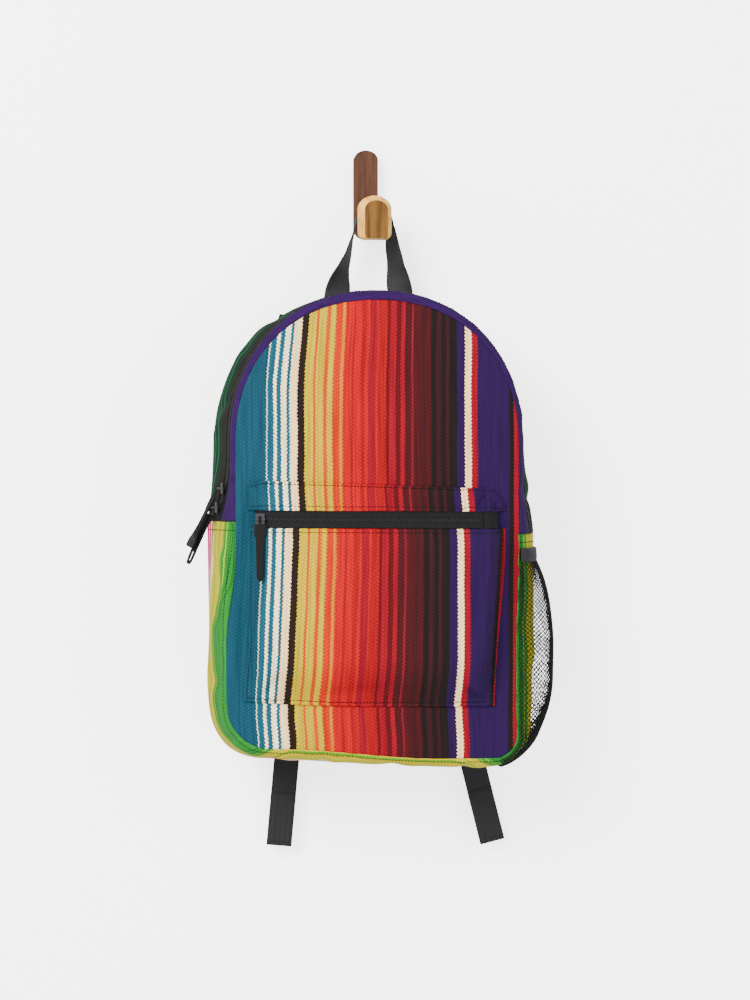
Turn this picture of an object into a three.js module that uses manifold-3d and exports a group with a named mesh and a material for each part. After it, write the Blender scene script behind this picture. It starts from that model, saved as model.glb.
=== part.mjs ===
// Small daypack hanging by its grab handle on a wooden wall hook.
// Millimetres, z up. The wall is y = 0 and the pack hangs in front of it, at y below 0.
// The origin is the centre of the hook plate's back face.
import * as THREE from 'three';
import { mergeVertices } from 'three/addons/utils/BufferGeometryUtils.js';
import Module from 'manifold-3d';

const wasm = await Module();
wasm.setup();

const seamGap = 0.3;
const clothThick = 1.6;
const panelDepth = 136;      // front seam to wall
const panelDome = 9;         // how far the front panel swells past its seam
const backDepth = 27;        // back panel to wall
const springZ = -250;        // where the arch meets the straight sides
const archPower = 2.15;
const zipEnd = { left: -324, right: -336 };
const archSteps = 36;
const lowerSteps = 42;

// The body's rim, from the front seam (t = 0) to the back seam (t = 1).
const stations = [
  { t: 0.00, centre: -2.3, half: 133.5, top: -116.5, bottom: -536, cornerLeft: 34, cornerRight: 23,
    bellyLeft: 8.6, bellyRight: -2.5, bellyFrom: -360, bellyFull: -440 },
  { t: 0.03, centre: -2.7, half: 135.7, top: -111.0, bottom: -540, cornerLeft: 35, cornerRight: 25,
    bellyLeft: 8.8, bellyRight: -0.5, bellyFrom: -330, bellyFull: -410 },
  { t: 0.10, centre: -1.9, half: 137.9, top: -107.5, bottom: -545, cornerLeft: 38, cornerRight: 28,
    bellyLeft: 9.0, bellyRight: 4.0, bellyFrom: -290, bellyFull: -370 },
  { t: 0.26, centre: -1.5, half: 140.9, top: -106.0, bottom: -549, cornerLeft: 42, cornerRight: 34,
    bellyLeft: 10.5, bellyRight: 9.0, bellyFrom: -282, bellyFull: -365 },
  { t: 0.60, centre: -3.0, half: 150.0, top: -104.5, bottom: -552, cornerLeft: 46, cornerRight: 40,
    bellyLeft: 6.0, bellyRight: 9.0, bellyFrom: -250, bellyFull: -340 },
  { t: 0.88, centre: -2.0, half: 149.0, top: -104.5, bottom: -551, cornerLeft: 46, cornerRight: 42,
    bellyLeft: 6.0, bellyRight: 8.0, bellyFrom: -250, bellyFull: -340 },
  { t: 1.00, centre: -1.0, half: 145.0, top: -107.5, bottom: -546, cornerLeft: 44, cornerRight: 42,
    bellyLeft: 5.0, bellyRight: 5.0, bellyFrom: -250, bellyFull: -340 },
];
const bottomDrop = { amount: 11, from: -100, to: 60 };   // the front seam sags towards its right

const strip = { narrow: 0.13, wide: 0.30 };   // share of the depth taken by the front strip
const zipWide = 0.115;                        // share of the depth taken by the zip

const pocket = { left: -124, right: 118, top: -285.6, zipTop: -313.5, zipBottom: -329.5, bottom: -497.5, swell: 25 };
const hook = { plateWide: 24, plateTall: 88, plateThick: 10, plateX: -1, armX: 4, armWide: 28, armTop: -22.6,
  armTall: 15, tabX: 3.4, tabWide: 33, tabTop: -7, tabBottom: -50, tabBack: -47, tabThick: 9, tabEdge: 5.2 };
const belt = { wide: 25, thick: 1.6 };

const group = new THREE.Group();
group.name = 'backpack_on_wall_hook';

const clamp = (x, low = 0, high = 1) => Math.min(high, Math.max(low, x));
const ease = (x) => {
  const k = clamp(x);
  return k * k * (3 - 2 * k);
};
const mix = (a, b, f) => a + (b - a) * f;

function stationAt(t) {
  const k = clamp(t);
  let i = 0;
  while (i < stations.length - 2 && k > stations[i + 1].t) i += 1;
  const [a, b] = [stations[i], stations[i + 1]];
  const before = stations[Math.max(0, i - 1)];
  const after = stations[Math.min(stations.length - 1, i + 2)];
  const f = (k - a.t) / (b.t - a.t);
  const row = {};
  for (const name of Object.keys(a)) {
    const slopeA = (b[name] - before[name]) / (b.t - before.t) * (b.t - a.t);
    const slopeB = (after[name] - a[name]) / (after.t - a.t) * (b.t - a.t);
    const [f2, f3] = [f * f, f * f * f];
    row[name] = (2 * f3 - 3 * f2 + 1) * a[name] + (f3 - 2 * f2 + f) * slopeA
      + (3 * f2 - 2 * f3) * b[name] + (f3 - f2) * slopeB;
  }
  return row;
}

// The sides swell below the zip's ends, and the front seam sags to the right.
function settle(row, x, z, t) {
  const reach = (x - row.centre) / row.half;
  const rise = ease((row.bellyFrom - z) / (row.bellyFrom - row.bellyFull));
  const fade = 1 - 0.5 * ease((-480 - z) / 60);
  const side = Math.pow(clamp(Math.abs(reach)), 6) * rise * fade;
  const swell = reach < 0 ? -row.bellyLeft : row.bellyRight;
  const sag = bottomDrop.amount * (1 - t) * ease((x - bottomDrop.from) / (bottomDrop.to - bottomDrop.from))
    * ease((-430 - z) / 90);
  return [x + swell * side, z - sag];
}

// Round the arch, from the right zip end over the top to the left zip end.
function upperPoint(t, q) {
  const row = stationAt(t);
  const rightShare = 0.146;
  const leftShare = 0.125;
  let x;
  let z;
  if (q < rightShare) {
    x = row.centre + row.half;
    z = mix(zipEnd.right, springZ, q / rightShare);
  } else if (q > 1 - leftShare) {
    x = row.centre - row.half;
    z = mix(springZ, zipEnd.left, (q - 1 + leftShare) / leftShare);
  } else {
    const angle = Math.PI * (q - rightShare) / (1 - rightShare - leftShare);
    const [c, s] = [Math.cos(angle), Math.sin(angle)];
    x = row.centre + row.half * Math.sign(c) * Math.pow(Math.abs(c), 2 / archPower);
    z = springZ + (row.top - springZ) * Math.pow(Math.max(0, s), 2 / archPower);
  }
  return settle(row, x, z, t);
}

// Down the left side, along the bottom and up the right side, between the zip's ends.
const lowerShares = { leftSide: 0.27, leftCorner: 0.36, bottom: 0.66, rightCorner: 0.73 };
function lowerPoint(t, q) {
  const row = stationAt(t);
  const s = lowerShares;
  const left = row.centre - row.half;
  const right = row.centre + row.half;
  let x;
  let z;
  if (q < s.leftSide) {
    x = left;
    z = mix(zipEnd.left, row.bottom + row.cornerLeft, q / s.leftSide);
  } else if (q < s.leftCorner) {
    const a = (q - s.leftSide) / (s.leftCorner - s.leftSide) * Math.PI / 2;
    x = left + row.cornerLeft * (1 - Math.cos(a));
    z = row.bottom + row.cornerLeft * (1 - Math.sin(a));
  } else if (q < s.bottom) {
    x = mix(left + row.cornerLeft, right - row.cornerRight, (q - s.leftCorner) / (s.bottom - s.leftCorner));
    z = row.bottom;
  } else if (q < s.rightCorner) {
    const a = (q - s.bottom) / (s.rightCorner - s.bottom) * Math.PI / 2;
    x = right - row.cornerRight * (1 - Math.sin(a));
    z = row.bottom + row.cornerRight * (1 - Math.cos(a));
  } else {
    x = right;
    z = mix(row.bottom + row.cornerRight, zipEnd.right, (q - s.rightCorner) / (1 - s.rightCorner));
  }
  return settle(row, x, z, t);
}

// One loop: 0 to 1 is the arch from right to left, 1 to 2 the lower run from left to right.
const rimPoint = (t, loop) => (loop <= 1 ? upperPoint(t, Math.max(0, loop)) : lowerPoint(t, Math.min(1, loop - 1)));

function frontY(x, z) {
  const across = clamp(Math.abs((x + 5) / 140));
  const along = clamp(Math.abs((z + 330) / 222));
  return -panelDepth - panelDome * (1 - across ** 2.6) * (1 - along ** 3.2);
}

const panelCentre = { x: -5, z: -330 };

// The whole skin: w 0 to 1 is the front panel from its centre to its seam,
// 1 to 2 the gussets from front to back, 2 to 3 the back panel from its seam to its centre.
function skin(loop, w) {
  if (w <= 1) {
    const [rx, rz] = rimPoint(0, loop);
    const x = mix(panelCentre.x, rx, w);
    const z = mix(panelCentre.z, rz, w);
    return new THREE.Vector3(x, frontY(x, z), z);
  }
  if (w <= 2) {
    const [fx, fz] = rimPoint(0, loop);
    const [x, z] = rimPoint(w - 1, loop);
    return new THREE.Vector3(x, mix(frontY(fx, fz), -backDepth, w - 1), z);
  }
  const [rx, rz] = rimPoint(1, loop);
  const f = Math.min(1, w - 2);
  const x = mix(rx, panelCentre.x, f);
  const z = mix(rz, panelCentre.z, f);
  return new THREE.Vector3(x, -backDepth - 1.5 * Math.sin(Math.PI * f), z);
}

function normalOf(point, u, v, du, dv) {
  const along = point(u + du, v).sub(point(u - du, v));
  const across = point(u, v + dv).sub(point(u, v - dv));
  return across.cross(along).normalize();
}

// A closed wall over a grid of outer and inner points. Rows run along u, columns along v.
function wall(outer, inner, closed) {
  const nu = outer.length;
  const nv = outer[0].length;
  const at = [];
  const put = (p) => at.push(p.x, p.y, p.z) / 3 - 1;
  const top = outer.map((row) => row.map(put));
  const low = inner.map((row) => row.map(put));
  const faces = [];
  const quad = (a, b, c, d) => faces.push(a, b, c, a, c, d);
  const last = closed ? nu : nu - 1;
  for (let i = 0; i < last; i += 1) {
    const j = (i + 1) % nu;
    for (let k = 0; k < nv - 1; k += 1) {
      quad(top[i][k], top[j][k], top[j][k + 1], top[i][k + 1]);
      quad(low[i][k], low[i][k + 1], low[j][k + 1], low[j][k]);
    }
    quad(top[i][0], low[i][0], low[j][0], top[j][0]);
    quad(top[i][nv - 1], top[j][nv - 1], low[j][nv - 1], low[i][nv - 1]);
  }
  if (!closed) {
    for (let k = 0; k < nv - 1; k += 1) {
      quad(top[0][k], top[0][k + 1], low[0][k + 1], low[0][k]);
      quad(top[nu - 1][k], low[nu - 1][k], low[nu - 1][k + 1], top[nu - 1][k + 1]);
    }
  }
  const geometry = new THREE.BufferGeometry();
  geometry.setAttribute('position', new THREE.Float32BufferAttribute(at, 3));
  geometry.setIndex(faces);
  return outward(mergeVertices(geometry, 1e-4));
}

// Turns a closed body's faces outward if its signed volume is negative, and drops faces with no area.
function outward(geometry) {
  const p = geometry.getAttribute('position');
  const index = Array.from(geometry.index.array);
  const kept = [];
  const [a, b, c] = [new THREE.Vector3(), new THREE.Vector3(), new THREE.Vector3()];
  let volume = 0;
  for (let i = 0; i < index.length; i += 3) {
    const [ia, ib, ic] = [index[i], index[i + 1], index[i + 2]];
    if (ia === ib || ib === ic || ic === ia) continue;
    a.fromBufferAttribute(p, ia);
    b.fromBufferAttribute(p, ib);
    c.fromBufferAttribute(p, ic);
    volume += a.dot(b.clone().cross(c));
    kept.push(ia, ib, ic);
  }
  if (volume < 0) {
    for (let i = 0; i < kept.length; i += 3) [kept[i], kept[i + 1]] = [kept[i + 1], kept[i]];
  }
  geometry.setIndex(kept);
  geometry.computeVertexNormals();
  return geometry;
}

function add(name, geometry, look) {
  const material = new THREE.MeshStandardMaterial(look);
  material.name = `${name}_material`;
  const mesh = new THREE.Mesh(geometry, material);
  mesh.name = name;
  group.add(mesh);
  return mesh;
}

// A piece of the skin between two loop places and two w edges, trimmed by half a seam all round.
function skinPiece({ from, to, steps, wFrom, wTo, rows, thick = clothThick, lift = 0, swell = () => 0,
  closed = false, centreHole = false }) {
  const outer = [];
  const inner = [];
  const count = closed ? steps : steps + 1;
  for (let i = 0; i < count; i += 1) {
    const share = i / steps;
    let loop = mix(from, to, share);
    const width = skin(loop, (wFrom(loop) + wTo(loop)) / 2);
    const beside = skin(loop + 1e-4, (wFrom(loop) + wTo(loop)) / 2);
    const perLoop = width.distanceTo(beside) / 1e-4;
    if (!closed && i === 0) loop += seamGap / 2 / perLoop * Math.sign(to - from);
    if (!closed && i === steps) loop -= seamGap / 2 / perLoop * Math.sign(to - from);
    const [w0, w1] = [wFrom(loop), wTo(loop)];
    const length = skin(loop, w0).distanceTo(skin(loop, mix(w0, w1, 0.1))) * 10;
    const inset = seamGap / 2 / length * (w1 - w0);
    const outRow = [];
    const inRow = [];
    for (let k = 0; k <= rows.length - 1; k += 1) {
      const w = mix(w0, w1, rows[k]);
      let place = w;
      if (k === 0 && !centreHole) place = w + inset;
      if (k === rows.length - 1) place = w - inset;
      const normal = normalOf(skin, loop, Math.max(0.02, w), 2e-3, 4e-3);
      const share2 = { loop, w, u: share, v: rows[k] };
      const high = lift + swell(share2);
      const p = skin(loop, place);
      outRow.push(p.clone().addScaledVector(normal, high));
      inRow.push(p.clone().addScaledVector(normal, high - thick));
    }
    outer.push(outRow);
    inner.push(inRow);
  }
  return { outer, inner };
}

// Which way the grid's normal points out of the pack.
const probe = normalOf(skin, 0.5, 1.5, 2e-3, 4e-3);
if (probe.z < 0) throw new Error('the skin faces inwards');

const loopSamples = [];
for (let i = 0; i < archSteps; i += 1) loopSamples.push(i / archSteps);
for (let i = 0; i < lowerSteps; i += 1) loopSamples.push(1 + i / lowerSteps);

// The two D-shaped panels are fans of rings that share the gussets' places at their rims.
function panel(wRim, rings) {
  const out = wRim === 1 ? 1 : -1;
  const outer = [];
  const inner = [];
  for (const loop of loopSamples) {
    const outRow = [];
    const inRow = [];
    for (const ring of rings) {
      const w = wRim === 1 ? ring : 3 - ring;
      const rim = ring === 1;
      const normal = ring < 0.05 ? new THREE.Vector3(0, -out, 0) : normalOf(skin, loop, w, 2e-3, 4e-3);
      const reach = skin(loop, w).distanceTo(skin(loop, w - out * 0.01)) * 100;
      const p = skin(loop, rim ? w - out * seamGap / 2 / reach : w);
      outRow.push(p);
      inRow.push(p.clone().addScaledVector(normal, -clothThick));
    }
    outer.push(outRow);
    inner.push(inRow);
  }
  return closeCentre(outer, inner);
}

// A ring grid whose first column is one point.
function closeCentre(outer, inner) {
  const at = [];
  const put = (p) => at.push(p.x, p.y, p.z) / 3 - 1;
  const mid = [put(outer[0][0]), put(inner[0][0])];
  const top = outer.map((row) => row.slice(1).map(put));
  const low = inner.map((row) => row.slice(1).map(put));
  const faces = [];
  const n = outer.length;
  const last = top[0].length - 1;
  for (let i = 0; i < n; i += 1) {
    const j = (i + 1) % n;
    faces.push(mid[0], top[j][0], top[i][0]);
    faces.push(mid[1], low[i][0], low[j][0]);
    for (let k = 0; k < last; k += 1) {
      faces.push(top[i][k], top[j][k], top[j][k + 1], top[i][k], top[j][k + 1], top[i][k + 1]);
      faces.push(low[i][k], low[i][k + 1], low[j][k + 1], low[i][k], low[j][k + 1], low[j][k]);
    }
    faces.push(top[i][last], top[j][last], low[j][last], top[i][last], low[j][last], low[i][last]);
  }
  const geometry = new THREE.BufferGeometry();
  geometry.setAttribute('position', new THREE.Float32BufferAttribute(at, 3));
  geometry.setIndex(faces);
  return outward(geometry);
}

const woven = { color: 0xb03a35, roughness: 0.85 };
const purple = { color: 0x3c1c78, roughness: 0.8 };
const dark = { color: 0x2b3a2b, roughness: 0.85 };
const black = { color: 0x1d1d1d, roughness: 0.7 };
const charcoal = { color: 0x2f3032, roughness: 0.8 };

add('front_panel', panel(1, [0, 0.28, 0.55, 0.78, 0.92, 1]), woven);
add('back_panel', panel(2, [0, 0.5, 0.86, 1]), dark);

// The front strip widens towards both zip ends, so the zip swings back there.
const endNear = (loop) => Math.max(ease((0.13 - loop) / 0.13), ease((loop - 0.885) / 0.115));
const stripEnd = (loop) => 1 + mix(strip.narrow, strip.wide, endNear(loop));
const zipBack = (loop) => stripEnd(loop) + zipWide;

const arch = { from: 0, to: 1, steps: archSteps };
const front = skinPiece({ ...arch, wFrom: () => 1, wTo: stripEnd, rows: [0, 0.25, 0.6, 1] });
add('front_strip', wall(front.outer, front.inner), purple);
const mainZip = skinPiece({ ...arch, wFrom: stripEnd, wTo: zipBack, rows: [0, 1] });
add('main_zip', wall(mainZip.outer, mainZip.inner), black);
const rear = skinPiece({ ...arch, wFrom: zipBack, wTo: () => 2, rows: [0, 0.3, 0.62, 0.86, 1] });
add('rear_gusset', wall(rear.outer, rear.inner), dark);
const lower = skinPiece({ from: 1, to: 2, steps: lowerSteps, wFrom: () => 1, wTo: () => 2,
  rows: [0, 0.04, 0.12, 0.3, 0.6, 0.86, 1] });
add('lower_gusset', wall(lower.outer, lower.inner), { color: 0x6fae4a, roughness: 0.85 });

// Net pocket on the right side, sewn along both seams and round the bottom corner.
const netFrom = 1 + lowerShares.bottom + 0.012;
const sideRun = 1 - lowerShares.rightCorner;
const netTop = 1 + lowerShares.rightCorner + sideRun * 0.85;
const bandTop = 1 + lowerShares.rightCorner + sideRun * 0.925;
const netSwell = ({ u, v }) => 17 * ease(v / 0.3) * ease((1 - v) / 0.34)
  * ease(u / 0.42) * (1 - 0.93 * clamp((u - 0.5) / 0.5) ** 3);
const net = skinPiece({ from: netFrom, to: netTop, steps: 14, wFrom: () => 1.03, wTo: () => 1.97,
  rows: [0, 0.1, 0.26, 0.42, 0.58, 0.74, 0.9, 1], thick: 1.2, lift: 2.1, swell: netSwell });
add('mesh_pocket', wall(net.outer, net.inner), { color: 0x222222, roughness: 0.8 });
const bandSwell = ({ u, v }) => 17 * ease(v / 0.3) * ease((1 - v) / 0.34) * mix(0.06, 0.02, u);
const band = skinPiece({ from: netTop, to: bandTop, steps: 2, wFrom: () => 1.03, wTo: () => 1.97,
  rows: [0, 0.1, 0.26, 0.42, 0.58, 0.74, 0.9, 1], thick: 1.8, lift: 2.6, swell: bandSwell });
add('mesh_elastic', wall(band.outer, band.inner), { color: 0x8a8a8e, roughness: 0.8 });

// Front pocket, laid out from the front panel's own points and moved out.
function pocketRise(x, z) {
  const foot = 3;
  const leftIn = clamp((x - pocket.left - foot) / 20);
  const rightIn = clamp((pocket.right - foot - x) / 17);
  const topIn = clamp((pocket.top - foot - z) / 62);
  const lowIn = clamp((z - pocket.bottom - foot) / 46);
  const round = (k) => Math.sin(k * Math.PI / 2) ** 1.25;
  return pocket.swell * round(leftIn) * round(rightIn) * round(topIn) * round(lowIn);
}
const pocketLift = seamGap + clothThick + 0.15;
// The pocket's top seam falls towards the right, and its corners are turned in.
function pocketDrop(u, z) {
  const high = clamp((z - pocket.zipTop) / (pocket.top - pocket.zipTop));
  const low = clamp((-440 - z) / 57);
  const corners = 15 * clamp((u - 0.93) / 0.07) ** 2 + 6 * clamp((0.06 - u) / 0.06) ** 2;
  return (7 * u + corners) * high + 1.2 * u * (1 - low) - 6.5 * (1 - u) ** 3 * low;
}
function pocketSkin(u, z) {
  const lean = 4.5 * ease((-430 - z) / 70);
  const x = mix(pocket.left - lean, pocket.right - 10.5 * ease((-331 - z) / 160), u);
  const inX = mix(pocket.left, pocket.right, u);
  const dropped = z - pocketDrop(u, z);
  return new THREE.Vector3(x, frontY(x, dropped) - pocketLift - pocketRise(inX, z), dropped);
}
function pocketPiece(top, bottom, rows, columns, thick) {
  const outer = [];
  const inner = [];
  const across = pocket.right - pocket.left;
  for (let i = 0; i < columns.length; i += 1) {
    const u = columns[i] / across;
    const outRow = [];
    const inRow = [];
    for (const f of rows) {
      const seam = f === 0 || f === 1;
      const z = mix(top, bottom, f);
      const trimmed = seam ? z - (f === 0 ? 1 : -1) * seamGap / 2 : z;
      const p = pocketSkin(u, trimmed);
      const step = 0.6 / across;
      const n = pocketSkin(u + step, z).sub(pocketSkin(u - step, z))
        .cross(pocketSkin(u, z + 0.6).sub(pocketSkin(u, z - 0.6))).normalize();
      const back = p.clone().addScaledVector(n, -thick);
      back.y = Math.min(back.y, frontY(back.x, back.z) - seamGap - 0.12);
      outRow.push(p);
      inRow.push(back);
    }
    outer.push(outRow);
    inner.push(inRow);
  }
  return wall(outer, inner);
}
const pocketColumns = [0, 3, 8, 14, 22, 44, 75, 110, 145, 180, 208, 222, 228, 233, 238, 242];
const zipColumns = [6, 9, 14, 22, 44, 75, 110, 145, 180, 205, 217.7];
add('pocket_top', pocketPiece(pocket.top, pocket.zipTop, [0, 0.12, 0.4, 0.7, 1], pocketColumns, clothThick), woven);
add('pocket_zip', pocketPiece(pocket.zipTop, pocket.zipBottom, [0, 0.5, 1], zipColumns, clothThick), black);
add('pocket_zip_tab', pocketPiece(pocket.zipTop, pocket.zipBottom, [0, 0.5, 1],
  [218, 221, 226, 230, 233.2], clothThick), black);
add('pocket_front', pocketPiece(pocket.zipBottom, pocket.bottom,
  [0, 0.15, 0.35, 0.6, 0.76, 0.86, 0.92, 0.955, 0.982, 1], pocketColumns, clothThick), woven);

// Solid joining through manifold.
function toManifold(geometry) {
  const g = geometry.index ? geometry.clone() : geometry;
  const bare = new THREE.BufferGeometry();
  bare.setAttribute('position', g.getAttribute('position').clone());
  if (g.index) bare.setIndex(g.index.clone());
  const merged = mergeVertices(bare, 1e-4);
  return new wasm.Manifold(new wasm.Mesh({
    numProp: 3,
    vertProperties: new Float32Array(merged.getAttribute('position').array),
    triVerts: new Uint32Array(merged.index.array),
  }));
}
function fromManifold(solid) {
  const m = solid.getMesh();
  const geometry = new THREE.BufferGeometry();
  geometry.setAttribute('position', new THREE.Float32BufferAttribute(Array.from(m.vertProperties), 3));
  geometry.setIndex(Array.from(m.triVerts));
  return outward(mergeVertices(geometry, 1e-4));
}
const join = (...list) => fromManifold(list.map(toManifold).reduce((a, b) => a.add(b)));
const cut = (base, ...tools) => fromManifold(tools.map(toManifold).reduce((a, b) => a.subtract(b), toManifold(base)));

// A block between two corners.
function block(x0, x1, y0, y1, z0, z1) {
  const g = new THREE.BoxGeometry(Math.abs(x1 - x0), Math.abs(y1 - y0), Math.abs(z1 - z0));
  g.translate((x0 + x1) / 2, (y0 + y1) / 2, (z0 + z1) / 2);
  return g;
}
function rod(radius, length, axis, at, sides = 14) {
  const g = new THREE.CylinderGeometry(radius, radius, length, sides);
  if (axis === 'x') g.rotateZ(Math.PI / 2);
  if (axis === 'z') g.rotateX(Math.PI / 2);
  g.translate(at[0], at[1], at[2]);
  return g;
}

// Loft between outlines of the same length, capped flat at both ends.
function loft(outlines) {
  const at = [];
  const rings = outlines.map((ring) => ring.map((p) => at.push(p.x, p.y, p.z) / 3 - 1));
  const faces = [];
  const n = rings[0].length;
  for (let i = 0; i < rings.length - 1; i += 1) {
    for (let k = 0; k < n; k += 1) {
      const j = (k + 1) % n;
      faces.push(rings[i][k], rings[i][j], rings[i + 1][j], rings[i][k], rings[i + 1][j], rings[i + 1][k]);
    }
  }
  for (const [ring, flip] of [[rings[0], true], [rings[rings.length - 1], false]]) {
    const mid = ring.reduce((s, v) => s.add(new THREE.Vector3(at[3 * v], at[3 * v + 1], at[3 * v + 2])),
      new THREE.Vector3()).divideScalar(n);
    const centre = at.push(mid.x, mid.y, mid.z) / 3 - 1;
    for (let k = 0; k < n; k += 1) {
      const j = (k + 1) % n;
      faces.push(centre, flip ? ring[j] : ring[k], flip ? ring[k] : ring[j]);
    }
  }
  const geometry = new THREE.BufferGeometry();
  geometry.setAttribute('position', new THREE.Float32BufferAttribute(at, 3));
  geometry.setIndex(faces);
  return outward(geometry);
}

// Wall hook: plate, arm and front tab.
function hookOutline(centreX, half, top, bottom, y, corner) {
  const points = [];
  const archHigh = half * 0.8;
  for (let i = 0; i <= 14; i += 1) {
    const a = Math.PI * i / 14;
    points.push(new THREE.Vector3(centreX + half * Math.cos(a), y, top - archHigh + archHigh * Math.sin(a)));
  }
  for (let i = 0; i <= 14; i += 1) {
    const a = Math.PI * (1 + i / 14);
    const side = corner ? Math.sign(Math.cos(a)) * (half - corner) : 0;
    const wide = corner || half;
    const high = corner || archHigh;
    points.push(new THREE.Vector3(centreX + side + wide * Math.cos(a), y, bottom + high + high * Math.sin(a)));
  }
  return points;
}
const halfPlate = hook.plateWide / 2;
const halfTall = hook.plateTall / 2;
add('hook_plate', loft([
  hookOutline(hook.plateX, halfPlate, halfTall, -halfTall, 0),
  hookOutline(hook.plateX, halfPlate, halfTall, -halfTall, -hook.plateThick + 1),
  hookOutline(hook.plateX, halfPlate - 1, halfTall - 1, -halfTall + 1, -hook.plateThick),
]), { color: 0x6a4530, roughness: 0.55 });
add('hook_arm', block(hook.armX - hook.armWide / 2 + 3, hook.armX + hook.armWide / 2 - 3,
  -hook.plateThick - seamGap, hook.tabBack + seamGap, hook.armTop - hook.armTall, hook.armTop),
{ color: 0xd8b88c, roughness: 0.5 });
const halfTab = hook.tabWide / 2;
add('hook_tab', loft([
  hookOutline(hook.tabX, halfTab, hook.tabTop, hook.tabBottom, hook.tabBack, 7),
  hookOutline(hook.tabX, halfTab, hook.tabTop, hook.tabBottom, hook.tabBack - hook.tabThick * 0.45, 7),
  hookOutline(hook.tabX + 1.2, halfTab - hook.tabEdge, hook.tabTop - hook.tabEdge, hook.tabBottom + 0.8,
    hook.tabBack - hook.tabThick, 4),
]), { color: 0x8a6a45, roughness: 0.4 });

// Webbing and straps: a flat band swept along a list of places with a width direction at each.
function spline(nodes, steps) {
  const curve = new THREE.CatmullRomCurve3(nodes.map((n) => new THREE.Vector3(n.x, n.y, n.z)), false, 'centripetal');
  const list = [];
  for (let i = 0; i <= steps; i += 1) {
    const f = i / steps * (nodes.length - 1);
    const k = Math.min(nodes.length - 2, Math.floor(f));
    const s = f - k;
    const tangent = curve.getTangent(i / steps);
    const [a, b] = [nodes[k], nodes[k + 1]];
    list.push({ at: curve.getPoint(i / steps), tangent,
      side: new THREE.Vector3(mix(a.sx, b.sx, s), mix(a.sy, b.sy, s), mix(a.sz ?? 0, b.sz ?? 0, s)),
      wide: mix(a.wide ?? belt.wide, b.wide ?? belt.wide, s),
      thick: mix(a.thick ?? belt.thick, b.thick ?? belt.thick, s) });
  }
  return list;
}
function sweep(list, section) {
  return loft(list.map(({ at, tangent, side, wide, thick }) => {
    const out = tangent.clone().cross(side).normalize();
    const across = out.clone().cross(tangent).normalize();
    return section.map(([a, b]) => at.clone().addScaledVector(across, a * wide / 2).addScaledVector(out, b * thick / 2));
  }));
}
const flatSection = [[1, -1], [1, 1], [0, 1], [-1, 1], [-1, -1], [0, -1]];

// The grab handle leaves the back panel flat, turns a quarter and lies over the hook's arm.
const flatBack = -backDepth + seamGap + belt.thick / 2 + 0.6;
const armMid = (-hook.plateThick + hook.tabBack) / 2;
const overTop = hook.armTop + seamGap + belt.thick / 2 + 0.3;
const handleNodes = [
  { x: -34, y: flatBack, z: -132, sx: 1, sy: 0 },
  { x: -33, y: flatBack, z: -116, sx: 1, sy: 0 },
  { x: -31, y: flatBack, z: -100, sx: 1, sy: 0.06 },
  { x: -24.6, y: -25.6, z: -74, sx: 0.5, sy: 0.87 },
  { x: -17, y: armMid, z: -48, sx: 0.14, sy: 1 },
  { x: -13.2, y: armMid, z: -33, sx: 0, sy: 1 },
  { x: -12.2, y: armMid, z: -26.5, sx: 0, sy: 1 },
  { x: -7.8, y: armMid, z: overTop + 0.2, sx: 0, sy: 1 },
  { x: 4, y: armMid, z: overTop + 0.1, sx: 0, sy: 1 },
  { x: 16, y: armMid, z: overTop + 0.1, sx: 0, sy: 1 },
  { x: 20.2, y: armMid, z: -26.5, sx: -0.05, sy: 1 },
  { x: 21.6, y: armMid, z: -34, sx: -0.1, sy: 1 },
  { x: 22.6, y: armMid, z: -48, sx: -0.36, sy: 0.93 },
  { x: 27, y: -25.6, z: -74, sx: -0.6, sy: 0.8 },
  { x: 31.5, y: flatBack, z: -100, sx: -1, sy: 0.06 },
  { x: 33, y: flatBack, z: -116, sx: -1, sy: 0 },
  { x: 34, y: flatBack, z: -132, sx: -1, sy: 0 },
];
add('grab_handle', sweep(spline(handleNodes, 56), flatSection), charcoal);

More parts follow.
